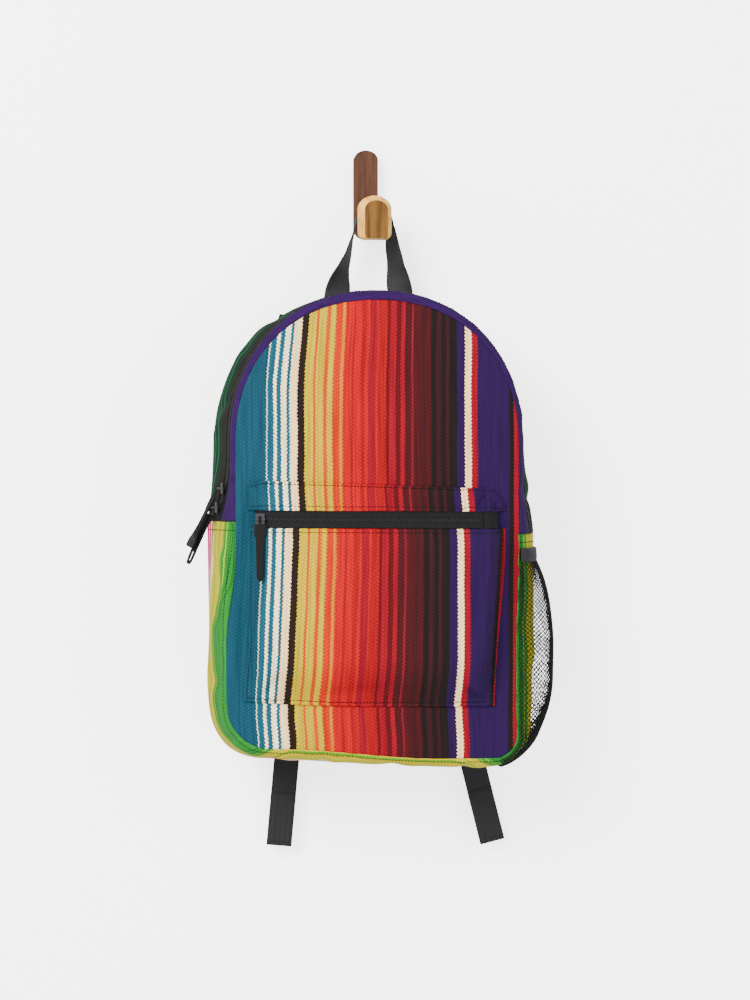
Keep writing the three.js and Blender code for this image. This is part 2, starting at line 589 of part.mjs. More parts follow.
// Padded shoulder straps behind the pack, each ending in a webbing loop and a ladder lock.
const strapSection = [];
for (let i = 0; i < 14; i += 1) {
  const a = 2 * Math.PI * i / 14;
  const [c, s] = [Math.cos(a), Math.sin(a)];
  strapSection.push([Math.sign(c) * Math.abs(c) ** 0.7, Math.sign(s) * Math.abs(s) ** 0.7]);
}
const lockPlaces = [
  { name: 'left', sign: -1, x: -70, z: -452, lean: -0.095, tailX: -88, tailZ: -645.5, anchorX: -104 },
  { name: 'right', sign: 1, x: 77, z: -448, lean: 0.22, tailX: 125.5, tailZ: -645, anchorX: 106 },
];
for (const lock of lockPlaces) {
  const s = lock.sign;
  const strapNodes = [
    { x: s * 62, y: -19.6, z: -122, sx: 1, sy: 0, wide: 52, thick: 5 },
    { x: s * 63, y: -17.2, z: -140, sx: 1, sy: 0, wide: 58, thick: 9.5 },
    { x: s * 70, y: -15.2, z: -200, sx: 1, sy: 0, wide: 62, thick: 11 },
    { x: s * 80, y: -14.4, z: -270, sx: 1, sy: 0, wide: 60, thick: 11 },
    { x: s * 82, y: -14.4, z: -340, sx: 1, sy: 0, wide: 52, thick: 11 },
    { x: s * 77, y: -14.4, z: -398, sx: 1, sy: 0, wide: 42, thick: 9.5 },
    { x: lock.x - lock.lean * 30, y: -14.9, z: lock.z + 32, sx: 1, sy: 0, wide: 34, thick: 5.2 },
    { x: lock.x - lock.lean * 18, y: -14.9, z: lock.z + 18, sx: 1, sy: 0, wide: 30, thick: 4.8 },
  ];
  add(`shoulder_strap_${lock.name}`, sweep(spline(strapNodes, 20), strapSection), dark);
  // Ladder lock frame: top bar, middle bar and lower lip, with two windows.
  const turn = Math.atan(lock.lean);
  const frame = cut(block(-16.5, 16.5, -17.2, -12.6, -13, 13), block(-13.4, 13.4, -20, -10, -0.2, 9.6),
    block(-13.4, 13.4, -20, -10, -9.8, -4.2));
  const place = (g) => g.rotateY(-turn).translate(lock.x, 0, lock.z);
  add(`ladder_lock_${lock.name}`, place(frame), black);
  const mid = -14.9;
  const loopNodes = [
    { x: 0, y: mid + 4.1, z: 28, sx: 1, sy: 0, wide: 24, thick: 1.4 },
    { x: 0, y: mid + 4.1, z: 20, sx: 1, sy: 0, wide: 24, thick: 1.4 },
    { x: 0, y: mid + 3.9, z: 12, sx: 1, sy: 0, wide: 24, thick: 1.4 },
    { x: 0, y: mid + 3.4, z: 9, sx: 1, sy: 0, wide: 24, thick: 1.4 },
    { x: 0, y: mid, z: 7.4, sx: 1, sy: 0, wide: 24, thick: 1.4 },
    { x: 0, y: mid - 3.4, z: 9, sx: 1, sy: 0, wide: 24, thick: 1.4 },
    { x: 0, y: mid - 3.9, z: 12, sx: 1, sy: 0, wide: 24, thick: 1.4 },
    { x: 0, y: mid - 4.1, z: 20, sx: 1, sy: 0, wide: 24, thick: 1.4 },
    { x: 0, y: mid - 4.1, z: 28, sx: 1, sy: 0, wide: 24, thick: 1.4 },
  ];
  add(`strap_loop_${lock.name}`, place(sweep(spline(loopNodes, 32), flatSection)), black);
  // One webbing: sewn low on the back panel, up over the middle bar, and down as the free tail.
  const across = new THREE.Vector3(1, 0, 0).applyAxisAngle(new THREE.Vector3(0, 1, 0), -turn);
  const way = { sx: across.x, sy: 0, sz: across.z };
  const tip = new THREE.Vector3(lock.tailX, -14, lock.tailZ);
  const down = (f) => ({ x: mix(lock.x, tip.x, f), z: mix(lock.z, tip.z, f) });
  const hem = 1 - 52 / (lock.z - lock.tailZ);
  const webNodes = [
    { x: lock.anchorX, y: flatBack, z: -533, sx: across.x, sy: 0, sz: across.z * 2.2 },
    { x: lock.anchorX - s * 3, y: flatBack, z: -518, sx: across.x, sy: 0, sz: across.z * 2 },
    { x: mix(lock.anchorX, lock.x, 0.62), y: mid - 5.4, z: lock.z - 32, ...way },
    { x: lock.x, y: mid - 4.2, z: lock.z - 8, ...way },
    { x: lock.x, y: mid - 3.6, z: lock.z + 0.4, ...way },
    { x: lock.x, y: mid, z: lock.z + 2.6, ...way },
    { x: lock.x, y: mid + 3.6, z: lock.z + 0.4, ...way },
    { ...down(0.06), y: mid + 4.6, ...way },
    { ...down(0.3), y: mid + 5, ...way },
    { ...down(hem - 0.008), y: -11, ...way },
    { ...down(hem + 0.008), y: -11, ...way, thick: 3.4 },
    { ...down(1), y: -14, ...way, thick: 3.4 },
  ];
  add(`adjust_webbing_${lock.name}`, sweep(spline(webNodes, 64), flatSection), black);
}

// Zip sliders with a pin that the pull's eye turns on. Built at the origin, then placed.
const pin = { radius: 0.7, high: 4.1 };
function slider() {
  const plate = block(-4.2, 4.2, -1, 0.6, -5, 5);
  const legs = [block(-4.4, -3.2, -pin.high - 0.7, 0, -1.1, 1.1), block(3.2, 4.4, -pin.high - 0.7, 0, -1.1, 1.1)];
  return join(plate, ...legs, rod(pin.radius, 7.6, 'x', [0, -pin.high, 0], 12));
}
// The pull hangs from the pin's centre along -z: eye, neck, square head and a tail of soft rubber.
// Rows name the height, width, thickness and twist in degrees away from the pin's own plane.
const pocketPullRows = [
  { z: -5.5, wide: 10.4, thick: 1.6, twist: 0 }, { z: -6.3, wide: 11.2, thick: 2.4, twist: 0 },
  { z: -15.6, wide: 11.2, thick: 2.4, twist: 0 }, { z: -16.6, wide: 9.4, thick: 2.2, twist: 0 },
  { z: -17.6, wide: 8.6, thick: 2.4, twist: 0 }, { z: -36, wide: 7.2, thick: 2.4, twist: 0 },
  { z: -52, wide: 6.4, thick: 2.2, twist: 0 }, { z: -55.4, wide: 5.2, thick: 1.8, twist: 0 },
  { z: -57, wide: 3, thick: 1.2, twist: 0 },
];
const upperPullRows = [
  { z: -9, wide: 7.4, thick: 1.6, twist: 26 }, { z: -9.8, wide: 8.2, thick: 2.4, twist: 26 },
  { z: -18.4, wide: 8.2, thick: 2.4, twist: 24 }, { z: -19.8, wide: 6.4, thick: 2.6, twist: 24 },
  { z: -24, wide: 4.8, thick: 2.5, twist: 24 }, { z: -36, wide: 4.4, thick: 2.4, twist: 32 },
  { z: -46, wide: 5.6, thick: 2.2, twist: 50 }, { z: -54, wide: 7.6, thick: 1.9, twist: 68 },
  { z: -60, wide: 7.4, thick: 1.7, twist: 74 }, { z: -61.4, wide: 5.6, thick: 1.3, twist: 74 },
];
const lowerPullRows = [
  { z: -7, wide: 7.4, thick: 1.6, twist: 60 }, { z: -7.8, wide: 8.4, thick: 2.4, twist: 60 },
  { z: -15.4, wide: 8.4, thick: 2.4, twist: 60 }, { z: -16.8, wide: 7, thick: 2.4, twist: 62 },
  { z: -30, wide: 6.4, thick: 2.2, twist: 64 }, { z: -44, wide: 6.2, thick: 2, twist: 60 },
  { z: -54, wide: 5.8, thick: 1.8, twist: 52 }, { z: -57, wide: 4.6, thick: 1.5, twist: 50 },
  { z: -58, wide: 2.6, thick: 1.1, twist: 50 },
];
function pull(rows, slot) {
  const eye = cut(rod(2.4, 2.6, 'x', [0, 0, 0], 20), rod(1.25, 4, 'x', [0, 0, 0], 16));
  const corners = [[1, -0.6], [1, 0.6], [0.8, 1], [-0.8, 1], [-1, 0.6], [-1, -0.6], [-0.8, -1], [0.8, -1]];
  const body = loft(rows.map((r) => corners.map(([a, b]) => new THREE.Vector3(a * r.wide / 2, b * r.thick / 2, r.z)
    .applyAxisAngle(new THREE.Vector3(0, 0, 1), THREE.MathUtils.degToRad(r.twist)))));
  const neck = block(-1, 1, -0.9, 0.9, rows[0].z - 2, -1.7);
  const whole = join(eye, neck, body);
  if (!slot) return whole;
  const hole = block(-0.9, 0.9, -4, 4, -54, -45.5);
  hole.rotateZ(THREE.MathUtils.degToRad(slot));
  return cut(whole, hole);
}
const metal = { color: 0x2a2a2c, roughness: 0.35, metalness: 0.9 };

const pocketSlider = { x: -114, z: -321.5 };
let pocketFace = 0;
for (const dx of [-4.6, 0, 4.6]) {
  for (const dz of [-5.2, 0, 5.2]) {
    const u = (pocketSlider.x + dx - pocket.left) / (pocket.right - pocket.left);
    pocketFace = Math.min(pocketFace, pocketSkin(u, pocketSlider.z + dz).y);
  }
}
const pocketPin = new THREE.Vector3(pocketSlider.x, pocketFace - 1 - pin.high, pocketSlider.z);
add('pocket_slider', slider().translate(pocketPin.x, pocketPin.y + pin.high, pocketPin.z), metal);
add('pocket_pull', pull(pocketPullRows, 0).translate(pocketPin.x, pocketPin.y, pocketPin.z), { color: 0x161616, roughness: 0.6 });

// The two main sliders sit low on the left. Their pins run front to back, so the pulls swing beside the pack.
const mainSliders = [
  { name: 'upper', z: -293, lean: 26, rows: upperPullRows, slot: 0 },
  { name: 'lower', z: -311, lean: 23, rows: lowerPullRows, slot: 57 },
];
const pinReport = [{ name: 'pocket', at: pocketPin }];
for (const one of mainSliders) {
  let loop = 0.9;
  for (let i = 0; i < 40; i += 1) {
    const here = skin(loop, (stripEnd(loop) + zipBack(loop)) / 2);
    loop += (here.z - one.z) / 700;
  }
  const middle = skin(loop, (stripEnd(loop) + zipBack(loop)) / 2);
  const g = slider().rotateZ(-Math.PI / 2).translate(middle.x - 3.3, middle.y, middle.z);
  const at = new THREE.Vector3(middle.x - 3.3 - pin.high, middle.y, middle.z);
  add(`main_slider_${one.name}`, g, metal);
  const hang = pull(one.rows, one.slot).rotateZ(-Math.PI / 2).rotateY(THREE.MathUtils.degToRad(one.lean));
  add(`main_pull_${one.name}`, hang.translate(at.x, at.y, at.z), { color: 0x161616, roughness: 0.6 });
  pinReport.push({ name: one.name, at });
}
group.userData.pins = pinReport.map(({ name, at }) => [name, at.x, at.y, at.z]);

export default group;
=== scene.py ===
# Striped daypack hanging from a wooden wall hook. Lengths are in mm until a mesh is made.
import math
import random

import bpy
import numpy as np
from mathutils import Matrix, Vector


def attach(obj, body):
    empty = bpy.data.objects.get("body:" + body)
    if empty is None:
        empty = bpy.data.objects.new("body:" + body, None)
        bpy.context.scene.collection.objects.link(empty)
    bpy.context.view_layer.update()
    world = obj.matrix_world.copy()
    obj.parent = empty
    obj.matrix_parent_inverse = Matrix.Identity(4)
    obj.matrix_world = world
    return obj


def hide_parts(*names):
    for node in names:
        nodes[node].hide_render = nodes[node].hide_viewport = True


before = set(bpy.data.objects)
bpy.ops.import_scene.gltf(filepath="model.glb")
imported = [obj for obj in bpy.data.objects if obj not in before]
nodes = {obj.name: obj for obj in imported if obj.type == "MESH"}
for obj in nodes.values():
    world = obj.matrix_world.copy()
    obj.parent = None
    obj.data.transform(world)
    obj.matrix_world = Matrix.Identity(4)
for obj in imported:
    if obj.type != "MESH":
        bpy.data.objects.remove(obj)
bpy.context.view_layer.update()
packBody = "pack_on_hook"
mm = 0.001

# ---------------------------------------------------------------- the pack's form
seamGap = 0.3
form = {"panelDepth": 136, "panelDome": 9, "backDepth": 27, "springZ": -250, "archPower": 2.15,
        "zipLeft": -324, "zipRight": -336}
# t is 0 at the front seam and 1 at the back seam
stationColumns = ["t", "centre", "half", "top", "bottom", "cornerLeft", "cornerRight",
                  "bellyLeft", "bellyRight", "bellyFrom", "bellyFull"]
stationRows = np.array([
    [0.00, -2.3, 133.5, -116.5, -536, 34, 23, 8.6, -2.5, -360, -440],
    [0.03, -2.7, 135.7, -111.0, -540, 35, 25, 8.8, -0.5, -330, -410],
    [0.10, -1.9, 137.9, -107.5, -545, 38, 28, 9.0, 4.0, -290, -370],
    [0.26, -1.5, 140.9, -106.0, -549, 42, 34, 10.5, 9.0, -282, -365],
    [0.60, -3.0, 150.0, -104.5, -552, 46, 40, 6.0, 9.0, -250, -340],
    [0.88, -2.0, 149.0, -104.5, -551, 46, 42, 6.0, 8.0, -250, -340],
    [1.00, -1.0, 145.0, -107.5, -546, 44, 42, 5.0, 5.0, -250, -340]])
lowerShares = {"leftSide": 0.27, "leftCorner": 0.36, "bottom": 0.66, "rightCorner": 0.73}
pocket = {"left": -124, "right": 118, "top": -285.6, "zipTop": -313.5, "zipBottom": -329.5, "bottom": -497.5,
          "zipFrom": 6, "zipTo": 217.7, "tabFrom": 218, "tabTo": 233.2, "swell": 25}
hook = {"plateWide": 24, "plateTall": 88, "plateThick": 10, "plateX": -1, "tabX": 3.4, "tabWide": 33, "tabTop": -7,
        "tabBottom": -50, "tabBack": -47, "tabThick": 9, "tabEdge": 5.2, "armTop": -22.6}


def ease(x):
    k = np.clip(x, 0, 1)
    return k * k * (3 - 2 * k)


def mix(a, b, f):
    return a + (b - a) * f


def stationAt(t):
    t = np.clip(t, 0, 1)
    at = stationRows[:, 0]
    i = np.clip(np.searchsorted(at, t, side="left") - 1, 0, len(at) - 2)
    before, after = np.maximum(0, i - 1), np.minimum(len(at) - 1, i + 2)
    f = (t - at[i]) / (at[i + 1] - at[i])
    step = at[i + 1] - at[i]
    row = {}
    for k, name in enumerate(stationColumns):
        v = stationRows[:, k]
        slopeA = (v[i + 1] - v[before]) / (at[i + 1] - at[before]) * step
        slopeB = (v[after] - v[i]) / (at[after] - at[i]) * step
        row[name] = ((2 * f**3 - 3 * f**2 + 1) * v[i] + (f**3 - 2 * f**2 + f) * slopeA
                     + (3 * f**2 - 2 * f**3) * v[i + 1] + (f**3 - f**2) * slopeB)
    return row


def settle(row, x, z, t):
    reach = (x - row["centre"]) / row["half"]
    rise = ease((row["bellyFrom"] - z) / (row["bellyFrom"] - row["bellyFull"]))
    side = np.clip(np.abs(reach), 0, 1)**6 * rise * (1 - 0.5 * ease((-480 - z) / 60))
    swell = np.where(reach < 0, -row["bellyLeft"], row["bellyRight"])
    sag = 11 * (1 - t) * ease((x + 100) / 160) * ease((-430 - z) / 90)
    return x + swell * side, z - sag


def upperPoint(t, q):
    row = stationAt(t)
    angle = np.clip(np.pi * (q - 0.146) / (1 - 0.146 - 0.125), 0, np.pi)
    c, s = np.cos(angle), np.maximum(0, np.sin(angle))
    x = row["centre"] + row["half"] * np.sign(c) * np.abs(c)**(2 / form["archPower"])
    z = form["springZ"] + (row["top"] - form["springZ"]) * s**(2 / form["archPower"])
    right, left = q < 0.146, q > 1 - 0.125
    x = np.where(right, row["centre"] + row["half"], np.where(left, row["centre"] - row["half"], x))
    z = np.where(right, mix(form["zipRight"], form["springZ"], q / 0.146),
                 np.where(left, mix(form["springZ"], form["zipLeft"], (q - 1 + 0.125) / 0.125), z))
    return settle(row, x, z, t)


def lowerPoint(t, q):
    row = stationAt(t)
    s = lowerShares
    left, right = row["centre"] - row["half"], row["centre"] + row["half"]
    low, cl, cr = row["bottom"], row["cornerLeft"], row["cornerRight"]
    a = np.clip((q - s["leftSide"]) / (s["leftCorner"] - s["leftSide"]), 0, 1) * np.pi / 2
    b = np.clip((q - s["bottom"]) / (s["rightCorner"] - s["bottom"]), 0, 1) * np.pi / 2
    flat = (q - s["leftCorner"]) / (s["bottom"] - s["leftCorner"])
    up = (q - s["rightCorner"]) / (1 - s["rightCorner"])
    where = [q < s["leftSide"], q < s["leftCorner"], q < s["bottom"], q < s["rightCorner"]]
    x = np.select(where, [left, left + cl * (1 - np.cos(a)), mix(left + cl, right - cr, flat),
                          right - cr * (1 - np.sin(b))], right)
    z = np.select(where, [mix(form["zipLeft"], low + cl, q / s["leftSide"]), low + cl * (1 - np.sin(a)), low,
                          low + cr * (1 - np.cos(b))], mix(low + cr, form["zipRight"], up))
    return settle(row, x, z, t)


def rimPoint(t, loop):
    ux, uz = upperPoint(t, np.clip(loop, 0, 1))
    lx, lz = lowerPoint(t, np.clip(loop - 1, 0, 1))
    return np.where(loop <= 1, ux, lx), np.where(loop <= 1, uz, lz)


def frontY(x, z):
    across = np.clip(np.abs((x + 5) / 140), 0, 1)
    along = np.clip(np.abs((z + 330) / 222), 0, 1)
    return -form["panelDepth"] - form["panelDome"] * (1 - across**2.6) * (1 - along**3.2)


def skin(loop, w):
    """w 0 to 1: front panel from centre to seam; 1 to 2: gussets; 2 to 3: back panel."""
    loop, w = np.broadcast_arrays(np.asarray(loop, float), np.asarray(w, float))
    fx, fz = rimPoint(np.zeros_like(w), loop)
    gx, gz = rimPoint(np.clip(w - 1, 0, 1), loop)
    bx, bz = rimPoint(np.ones_like(w), loop)
    k, f = np.clip(w, 0, 1), np.clip(w - 2, 0, 1)
    x = np.where(w <= 1, mix(-5, fx, k), np.where(w <= 2, gx, mix(bx, -5, f)))
    z = np.where(w <= 1, mix(-330, fz, k), np.where(w <= 2, gz, mix(bz, -330, f)))
    y = np.where(w <= 1, frontY(x, z), np.where(w <= 2, mix(frontY(fx, fz), -form["backDepth"], np.clip(w - 1, 0, 1)),
                                                 -form["backDepth"] - 1.5 * np.sin(np.pi * f)))
    return np.stack([x, y, z], -1)


def normalsOf(points, closed=False):
    if closed:
        along = np.roll(points, -1, 0) - np.roll(points, 1, 0)
    else:
        along = np.gradient(points, axis=0)
    across = np.gradient(points, axis=1)
    n = np.cross(across, along)
    return n / np.maximum(np.linalg.norm(n, axis=-1, keepdims=True), 1e-9)


# ---------------------------------------------------------------- soft shaping
def wander(x, z, scale, seed):
    """A smooth field between about -1 and 1, made of a few waves at odd angles."""
    rng = random.Random(seed)
    total = np.zeros(np.broadcast(x, z).shape)
    for i in range(7):
        a = rng.uniform(0, np.pi)
        k = 2 * np.pi / (scale * rng.uniform(0.6, 1.7))
        total += np.sin(k * (x * np.cos(a) + z * np.sin(a)) + rng.uniform(0, 6.28)) / 3
    return total


def folds(x, z, lines):
    """Creases as listed: a valley along a line, with a softer ridge beside it."""
    total = np.zeros(np.broadcast(x, z).shape)
    for line in lines:
        (ax, az), (bx, bz) = line["start"], line["end"]
        dx, dz = bx - ax, bz - az
        long = math.hypot(dx, dz)
        along = ((x - ax) * dx + (z - az) * dz) / long**2
        off = ((x - ax) * dz - (z - az) * dx) / long + line.get("bend", 0) * np.sin(np.pi * np.clip(along, 0, 1))
        fade = ease(along / 0.3 + 0.2) * ease((1 - along) / 0.5 + 0.1) * (along > -0.1) * (along < 1.2)
        wide = line["wide"]
        valley = -np.exp(-(off / wide)**2)
        ridge = 0.7 * np.exp(-((off - 1.9 * wide) / (1.3 * wide))**2)
        total += line["deep"] * fade * (valley + ridge)
    return total


def puckers(distance, along, deep, reach, seed):
    """Small gathers that a seam pulls into the cloth beside it."""
    rng = random.Random(seed)
    total = 0
    for i in range(5):
        pitch = rng.uniform(9, 31)
        total = total + np.sin(2 * np.pi * along / pitch + rng.uniform(0, 6.28)) / 2.4
    return deep * total * np.exp(-distance / reach)


# ---------------------------------------------------------------- mesh making
def makeMesh(name, vertices, faces, smooth=True, uv=None):
    mesh = bpy.data.meshes.new(name)
    mesh.from_pydata((np.asarray(vertices) * mm).tolist(), [], faces)
    if uv is not None:
        layer = mesh.uv_layers.new(name="cloth")
        index = np.zeros(len(mesh.loops), dtype=np.int32)
        mesh.loops.foreach_get("vertex_index", index)
        layer.uv.foreach_set("vector", np.asarray(uv, dtype=np.float32)[index].ravel())
    mesh.polygons.foreach_set("use_smooth", [smooth] * len(mesh.polygons))
    mesh.update()
    piece = bpy.data.objects.new(name, mesh)
    bpy.context.collection.objects.link(piece)
    return piece


def shell(name, outer, normals, thick, uv, centre=None, edgeRound=0.35):
    # a thin closed sheet over a grid of points, its rim rolled in a little; a disc names its centre column, 0 or -1
    closed = centre is not None
    nu, nv = outer.shape[:2]
    top = outer.copy()
    rim = np.zeros((nu, nv))
    rim[:, 0] = rim[:, -1] = 1
    if closed:
        rim[:, centre] = 0
    else:
        rim[0] = rim[-1] = 1
    top -= normals * (rim * thick * edgeRound)[..., None]
    low = outer - normals * (thick * (1 - rim * edgeRound))[..., None]
    points = np.concatenate([top.reshape(-1, 3), low.reshape(-1, 3)])
    uvAll = np.concatenate([uv.reshape(-1, 2), uv.reshape(-1, 2)])
    ids = np.arange(nu * nv).reshape(nu, nv)
    under = ids + nu * nv
    faces = []
    last = nu if closed else nu - 1
    for i in range(last):
        j = (i + 1) % nu
        for k in range(nv - 1):
            faces.append((ids[i, k], ids[i, k + 1], ids[j, k + 1], ids[j, k]))
            faces.append((under[i, k], under[j, k], under[j, k + 1], under[i, k + 1]))
        if centre != 0:
            faces.append((ids[i, 0], ids[j, 0], under[j, 0], under[i, 0]))
        if centre != -1:
            faces.append((ids[i, -1], under[i, -1], under[j, -1], ids[j, -1]))
    if closed:
        turn = 1 if centre == 0 else -1
        faces.append(ids[::turn, centre])
        faces.append(under[::-turn, centre])
    else:
        for k in range(nv - 1):
            faces.append((ids[0, k], under[0, k], under[0, k + 1], ids[0, k + 1]))
            faces.append((ids[-1, k], ids[-1, k + 1], under[-1, k + 1], under[-1, k]))
    faces = [tuple(int(v) for v in f) for f in faces]
    return makeMesh(name, points, faces, uv=uvAll)


def dress(piece, material, body=packBody, instead=()):
    piece.data.materials.append(material)
    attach(piece, body)
    if instead:
        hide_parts(*instead)
    return piece


# ---------------------------------------------------------------- materials
def colour(text):
    """sRGB hex to linear rgba."""
    parts = [int(text[i:i + 2], 16) / 255 for i in (0, 2, 4)]
    return [c / 12.92 if c <= 0.04045 else ((c + 0.055) / 1.055)**2.4 for c in parts] + [1.0]


def addNode(tree, kind, settings=None, links=None):
    node = tree.nodes.new("ShaderNode" + kind)
    for name, value in (settings or {}).items():
        if hasattr(node, name):
            setattr(node, name, value)
        else:
            node.inputs[int(name[1:]) if name[0] == "#" else name].default_value = value
    for name, socket in (links or {}).items():
        tree.links.new(socket, node.inputs[int(name[1:]) if name[0] == "#" else name])
    return node


def startMaterial(name, **values):
    material = bpy.data.materials.new(name)
    material.use_nodes = True
    tree = material.node_tree
    shader = tree.nodes["Principled BSDF"]
    for key, value in values.items():
        shader.inputs[key].default_value = value
    return material, tree, shader


def math2(tree, operation, a, b=None, c=None):
    node = addNode(tree, "Math", {"operation": operation})
    for i, value in enumerate((a, b, c)):
        if value is None:
            continue
        if isinstance(value, (int, float)):
            node.inputs[i].default_value = value
        else:
            tree.links.new(value, node.inputs[i])
    return node.outputs[0]


def blend(tree, kind, share, a, b):
    """Mixes two colours. A plain value is set on the socket itself."""
    node = addNode(tree, "Mix", {"data_type": "RGBA", "blend_type": kind})
    for i, value in ((0, share), (6, a), (7, b)):
        if isinstance(value, (int, float, list)):
            node.inputs[i].default_value = value
        else:
            tree.links.new(value, node.inputs[i])
    return node.outputs[2]


def clothPlace(tree):
    """Across and along the cloth in mm, from the piece's own map."""
    uv = addNode(tree, "UVMap", {"uv_map": "cloth"})
    split = addNode(tree, "SeparateXYZ", links={"Vector": uv.outputs["UV"]})
    return split.outputs["X"], split.outputs["Y"]


def spots(tree, across, along, pitchAcross, pitchAlong, detail=2.0):
    place = addNode(tree, "CombineXYZ", links={"X": math2(tree, "DIVIDE", across, pitchAcross),
                                               "Y": math2(tree, "DIVIDE", along, pitchAlong)})
    noise = addNode(tree, "TexNoise", {"noise_dimensions": "2D", "Scale": 1.0, "Detail": detail},
                    {"Vector": place.outputs["Vector"]})
    return noise.outputs["Factor"] if "Factor" in noise.outputs else noise.outputs["Fac"]


def stripeRamp(tree, across, start, rows):
    """Stripes of given widths side by side, each with a hard edge. Long lists share two or more ramps."""
    result = None
    edge = start
    for first in range(0, len(rows), 28):
        part = rows[first:first + 28]
        width = sum(w for w, c in part)
        ramp = addNode(tree, "ValToRGB", links={"Fac": math2(tree, "DIVIDE", math2(tree, "SUBTRACT", across, edge), width)})
        ramp.color_ramp.interpolation = "CONSTANT"
        place = 0
        for i, (w, c) in enumerate(part):
            if i == 0:
                stop = ramp.color_ramp.elements[0]
                stop.position = 0
            elif i == 1:
                stop = ramp.color_ramp.elements[1]
                stop.position = place / width
            else:
                stop = ramp.color_ramp.elements.new(place / width)
            stop.color = colour(c)
            place += w
        if result is None:
            result = ramp.outputs["Color"]
        else:
            result = blend(tree, "MIX", math2(tree, "GREATER_THAN", across, edge), result, ramp.outputs["Color"])
        edge += width
    return result


def blanketCloth(name, start, rows, settings):
    """Weft-faced blanket weave, printed on polyester: staggered pebbles of yarn, so every stripe's edge scallops."""
    material, tree, shader = startMaterial(name, **{"Roughness": 0.85, "Specular IOR Level": 0.12})
    across, along = clothPlace(tree)
    wave = math2(tree, "MULTIPLY", along, 2 * math.pi / settings["pair"])
    drift = math2(tree, "MULTIPLY", math2(tree, "SUBTRACT", spots(tree, across, along, 30, 60), 0.5), settings["drift"])
    jitter = math2(tree, "MULTIPLY", math2(tree, "SUBTRACT", spots(tree, across, along, 7, 2.4, 1.0), 0.5), settings["jitter"])
    swing = math2(tree, "MULTIPLY", math2(tree, "SINE", wave), settings["scallop"])
    moved = math2(tree, "ADD", math2(tree, "ADD", across, drift), math2(tree, "ADD", jitter, swing))
    base = stripeRamp(tree, moved, start, rows)
    # long soft streaks within a stripe, as the yarn's dye varies
    streak = addNode(tree, "ValToRGB", links={"Fac": spots(tree, across, along, 2.2, 70)})
    streak.color_ramp.elements[0].position, streak.color_ramp.elements[1].position = 0.3, 0.62
    streak.color_ramp.elements[0].color = colour("a8a8b0")
    base = blend(tree, "MULTIPLY", settings["streak"], base, streak.outputs["Color"])
    # pebbles: neighbouring columns are half a pair out of step. The colour is darkened in the gaps between pebbles:
    # painted shade, laid in the same pattern as the bump
    column = math2(tree, "DIVIDE", moved, settings["column"])
    step = math2(tree, "MULTIPLY", math2(tree, "MODULO", math2(tree, "FLOOR", math2(tree, "ADD", column, 400.0)), 2.0), math.pi)
    uneven = math2(tree, "MULTIPLY", spots(tree, across, along, 9, 9), 3.0)
    rib = math2(tree, "MULTIPLY_ADD", math2(tree, "SINE", math2(tree, "ADD", math2(tree, "ADD", wave, step), uneven)), 0.5, 0.5)
    gap = math2(tree, "POWER", math2(tree, "ABSOLUTE", math2(tree, "SINE", math2(tree, "MULTIPLY", column, math.pi))), 0.5)
    pebble = math2(tree, "MULTIPLY", math2(tree, "POWER", rib, 0.6), math2(tree, "MULTIPLY_ADD", gap, 0.5, 0.5))
    shade = math2(tree, "MULTIPLY_ADD", pebble, settings["gapShade"], 1.04 - settings["gapShade"])
    fine = math2(tree, "MULTIPLY_ADD", spots(tree, across, along, 0.8, 0.7, 2.0), 0.5, 0.76)
    both = math2(tree, "MULTIPLY", shade, fine)
    grey = addNode(tree, "CombineColor", links={"Red": both, "Green": both, "Blue": both})
    base = blend(tree, "MULTIPLY", 1.0, base, grey.outputs["Color"])
    tree.links.new(base, shader.inputs["Base Color"])
    height = math2(tree, "ADD", math2(tree, "MULTIPLY", pebble, 0.8), math2(tree, "MULTIPLY", fine, 0.5))
    bump = addNode(tree, "Bump", {"Strength": settings["bump"], "Distance": 0.0004}, {"Height": height})
    tree.links.new(bump.outputs["Normal"], shader.inputs["Normal"])
    return material


def plainCloth(name, hexColour, rough=0.85, weave=0.7, streak=0.12, bumpStrength=0.35):
    """Plain woven polyester: an even fine grid of threads, drawn as a bump and as painted shade that darkens the colour
    where the grid dips.
    """
    material, tree, shader = startMaterial(name, **{"Roughness": rough, "Specular IOR Level": 0.12})
    across, along = clothPlace(tree)
    a = math2(tree, "SINE", math2(tree, "MULTIPLY", across, 2 * math.pi / weave))
    b = math2(tree, "SINE", math2(tree, "MULTIPLY", along, 2 * math.pi / weave))
    grid = math2(tree, "MULTIPLY_ADD", math2(tree, "MULTIPLY", a, b), 0.5, 0.5)
    # the colour is darker where the thread grid dips, which is painted shade; the streaks are the yarn's own tone
    value = math2(tree, "ADD", math2(tree, "MULTIPLY_ADD", grid, 0.25, 0.8),
                  math2(tree, "MULTIPLY", math2(tree, "SUBTRACT", spots(tree, across, along, 3, 22), 0.5), streak * 4))
    grey = addNode(tree, "CombineColor", links={"Red": value, "Green": value, "Blue": value})
    tree.links.new(blend(tree, "MULTIPLY", 1.0, colour(hexColour), grey.outputs["Color"]), shader.inputs["Base Color"])
    bump = addNode(tree, "Bump", {"Strength": bumpStrength, "Distance": 0.0003}, {"Height": grid})
    tree.links.new(bump.outputs["Normal"], shader.inputs["Normal"])
    return material


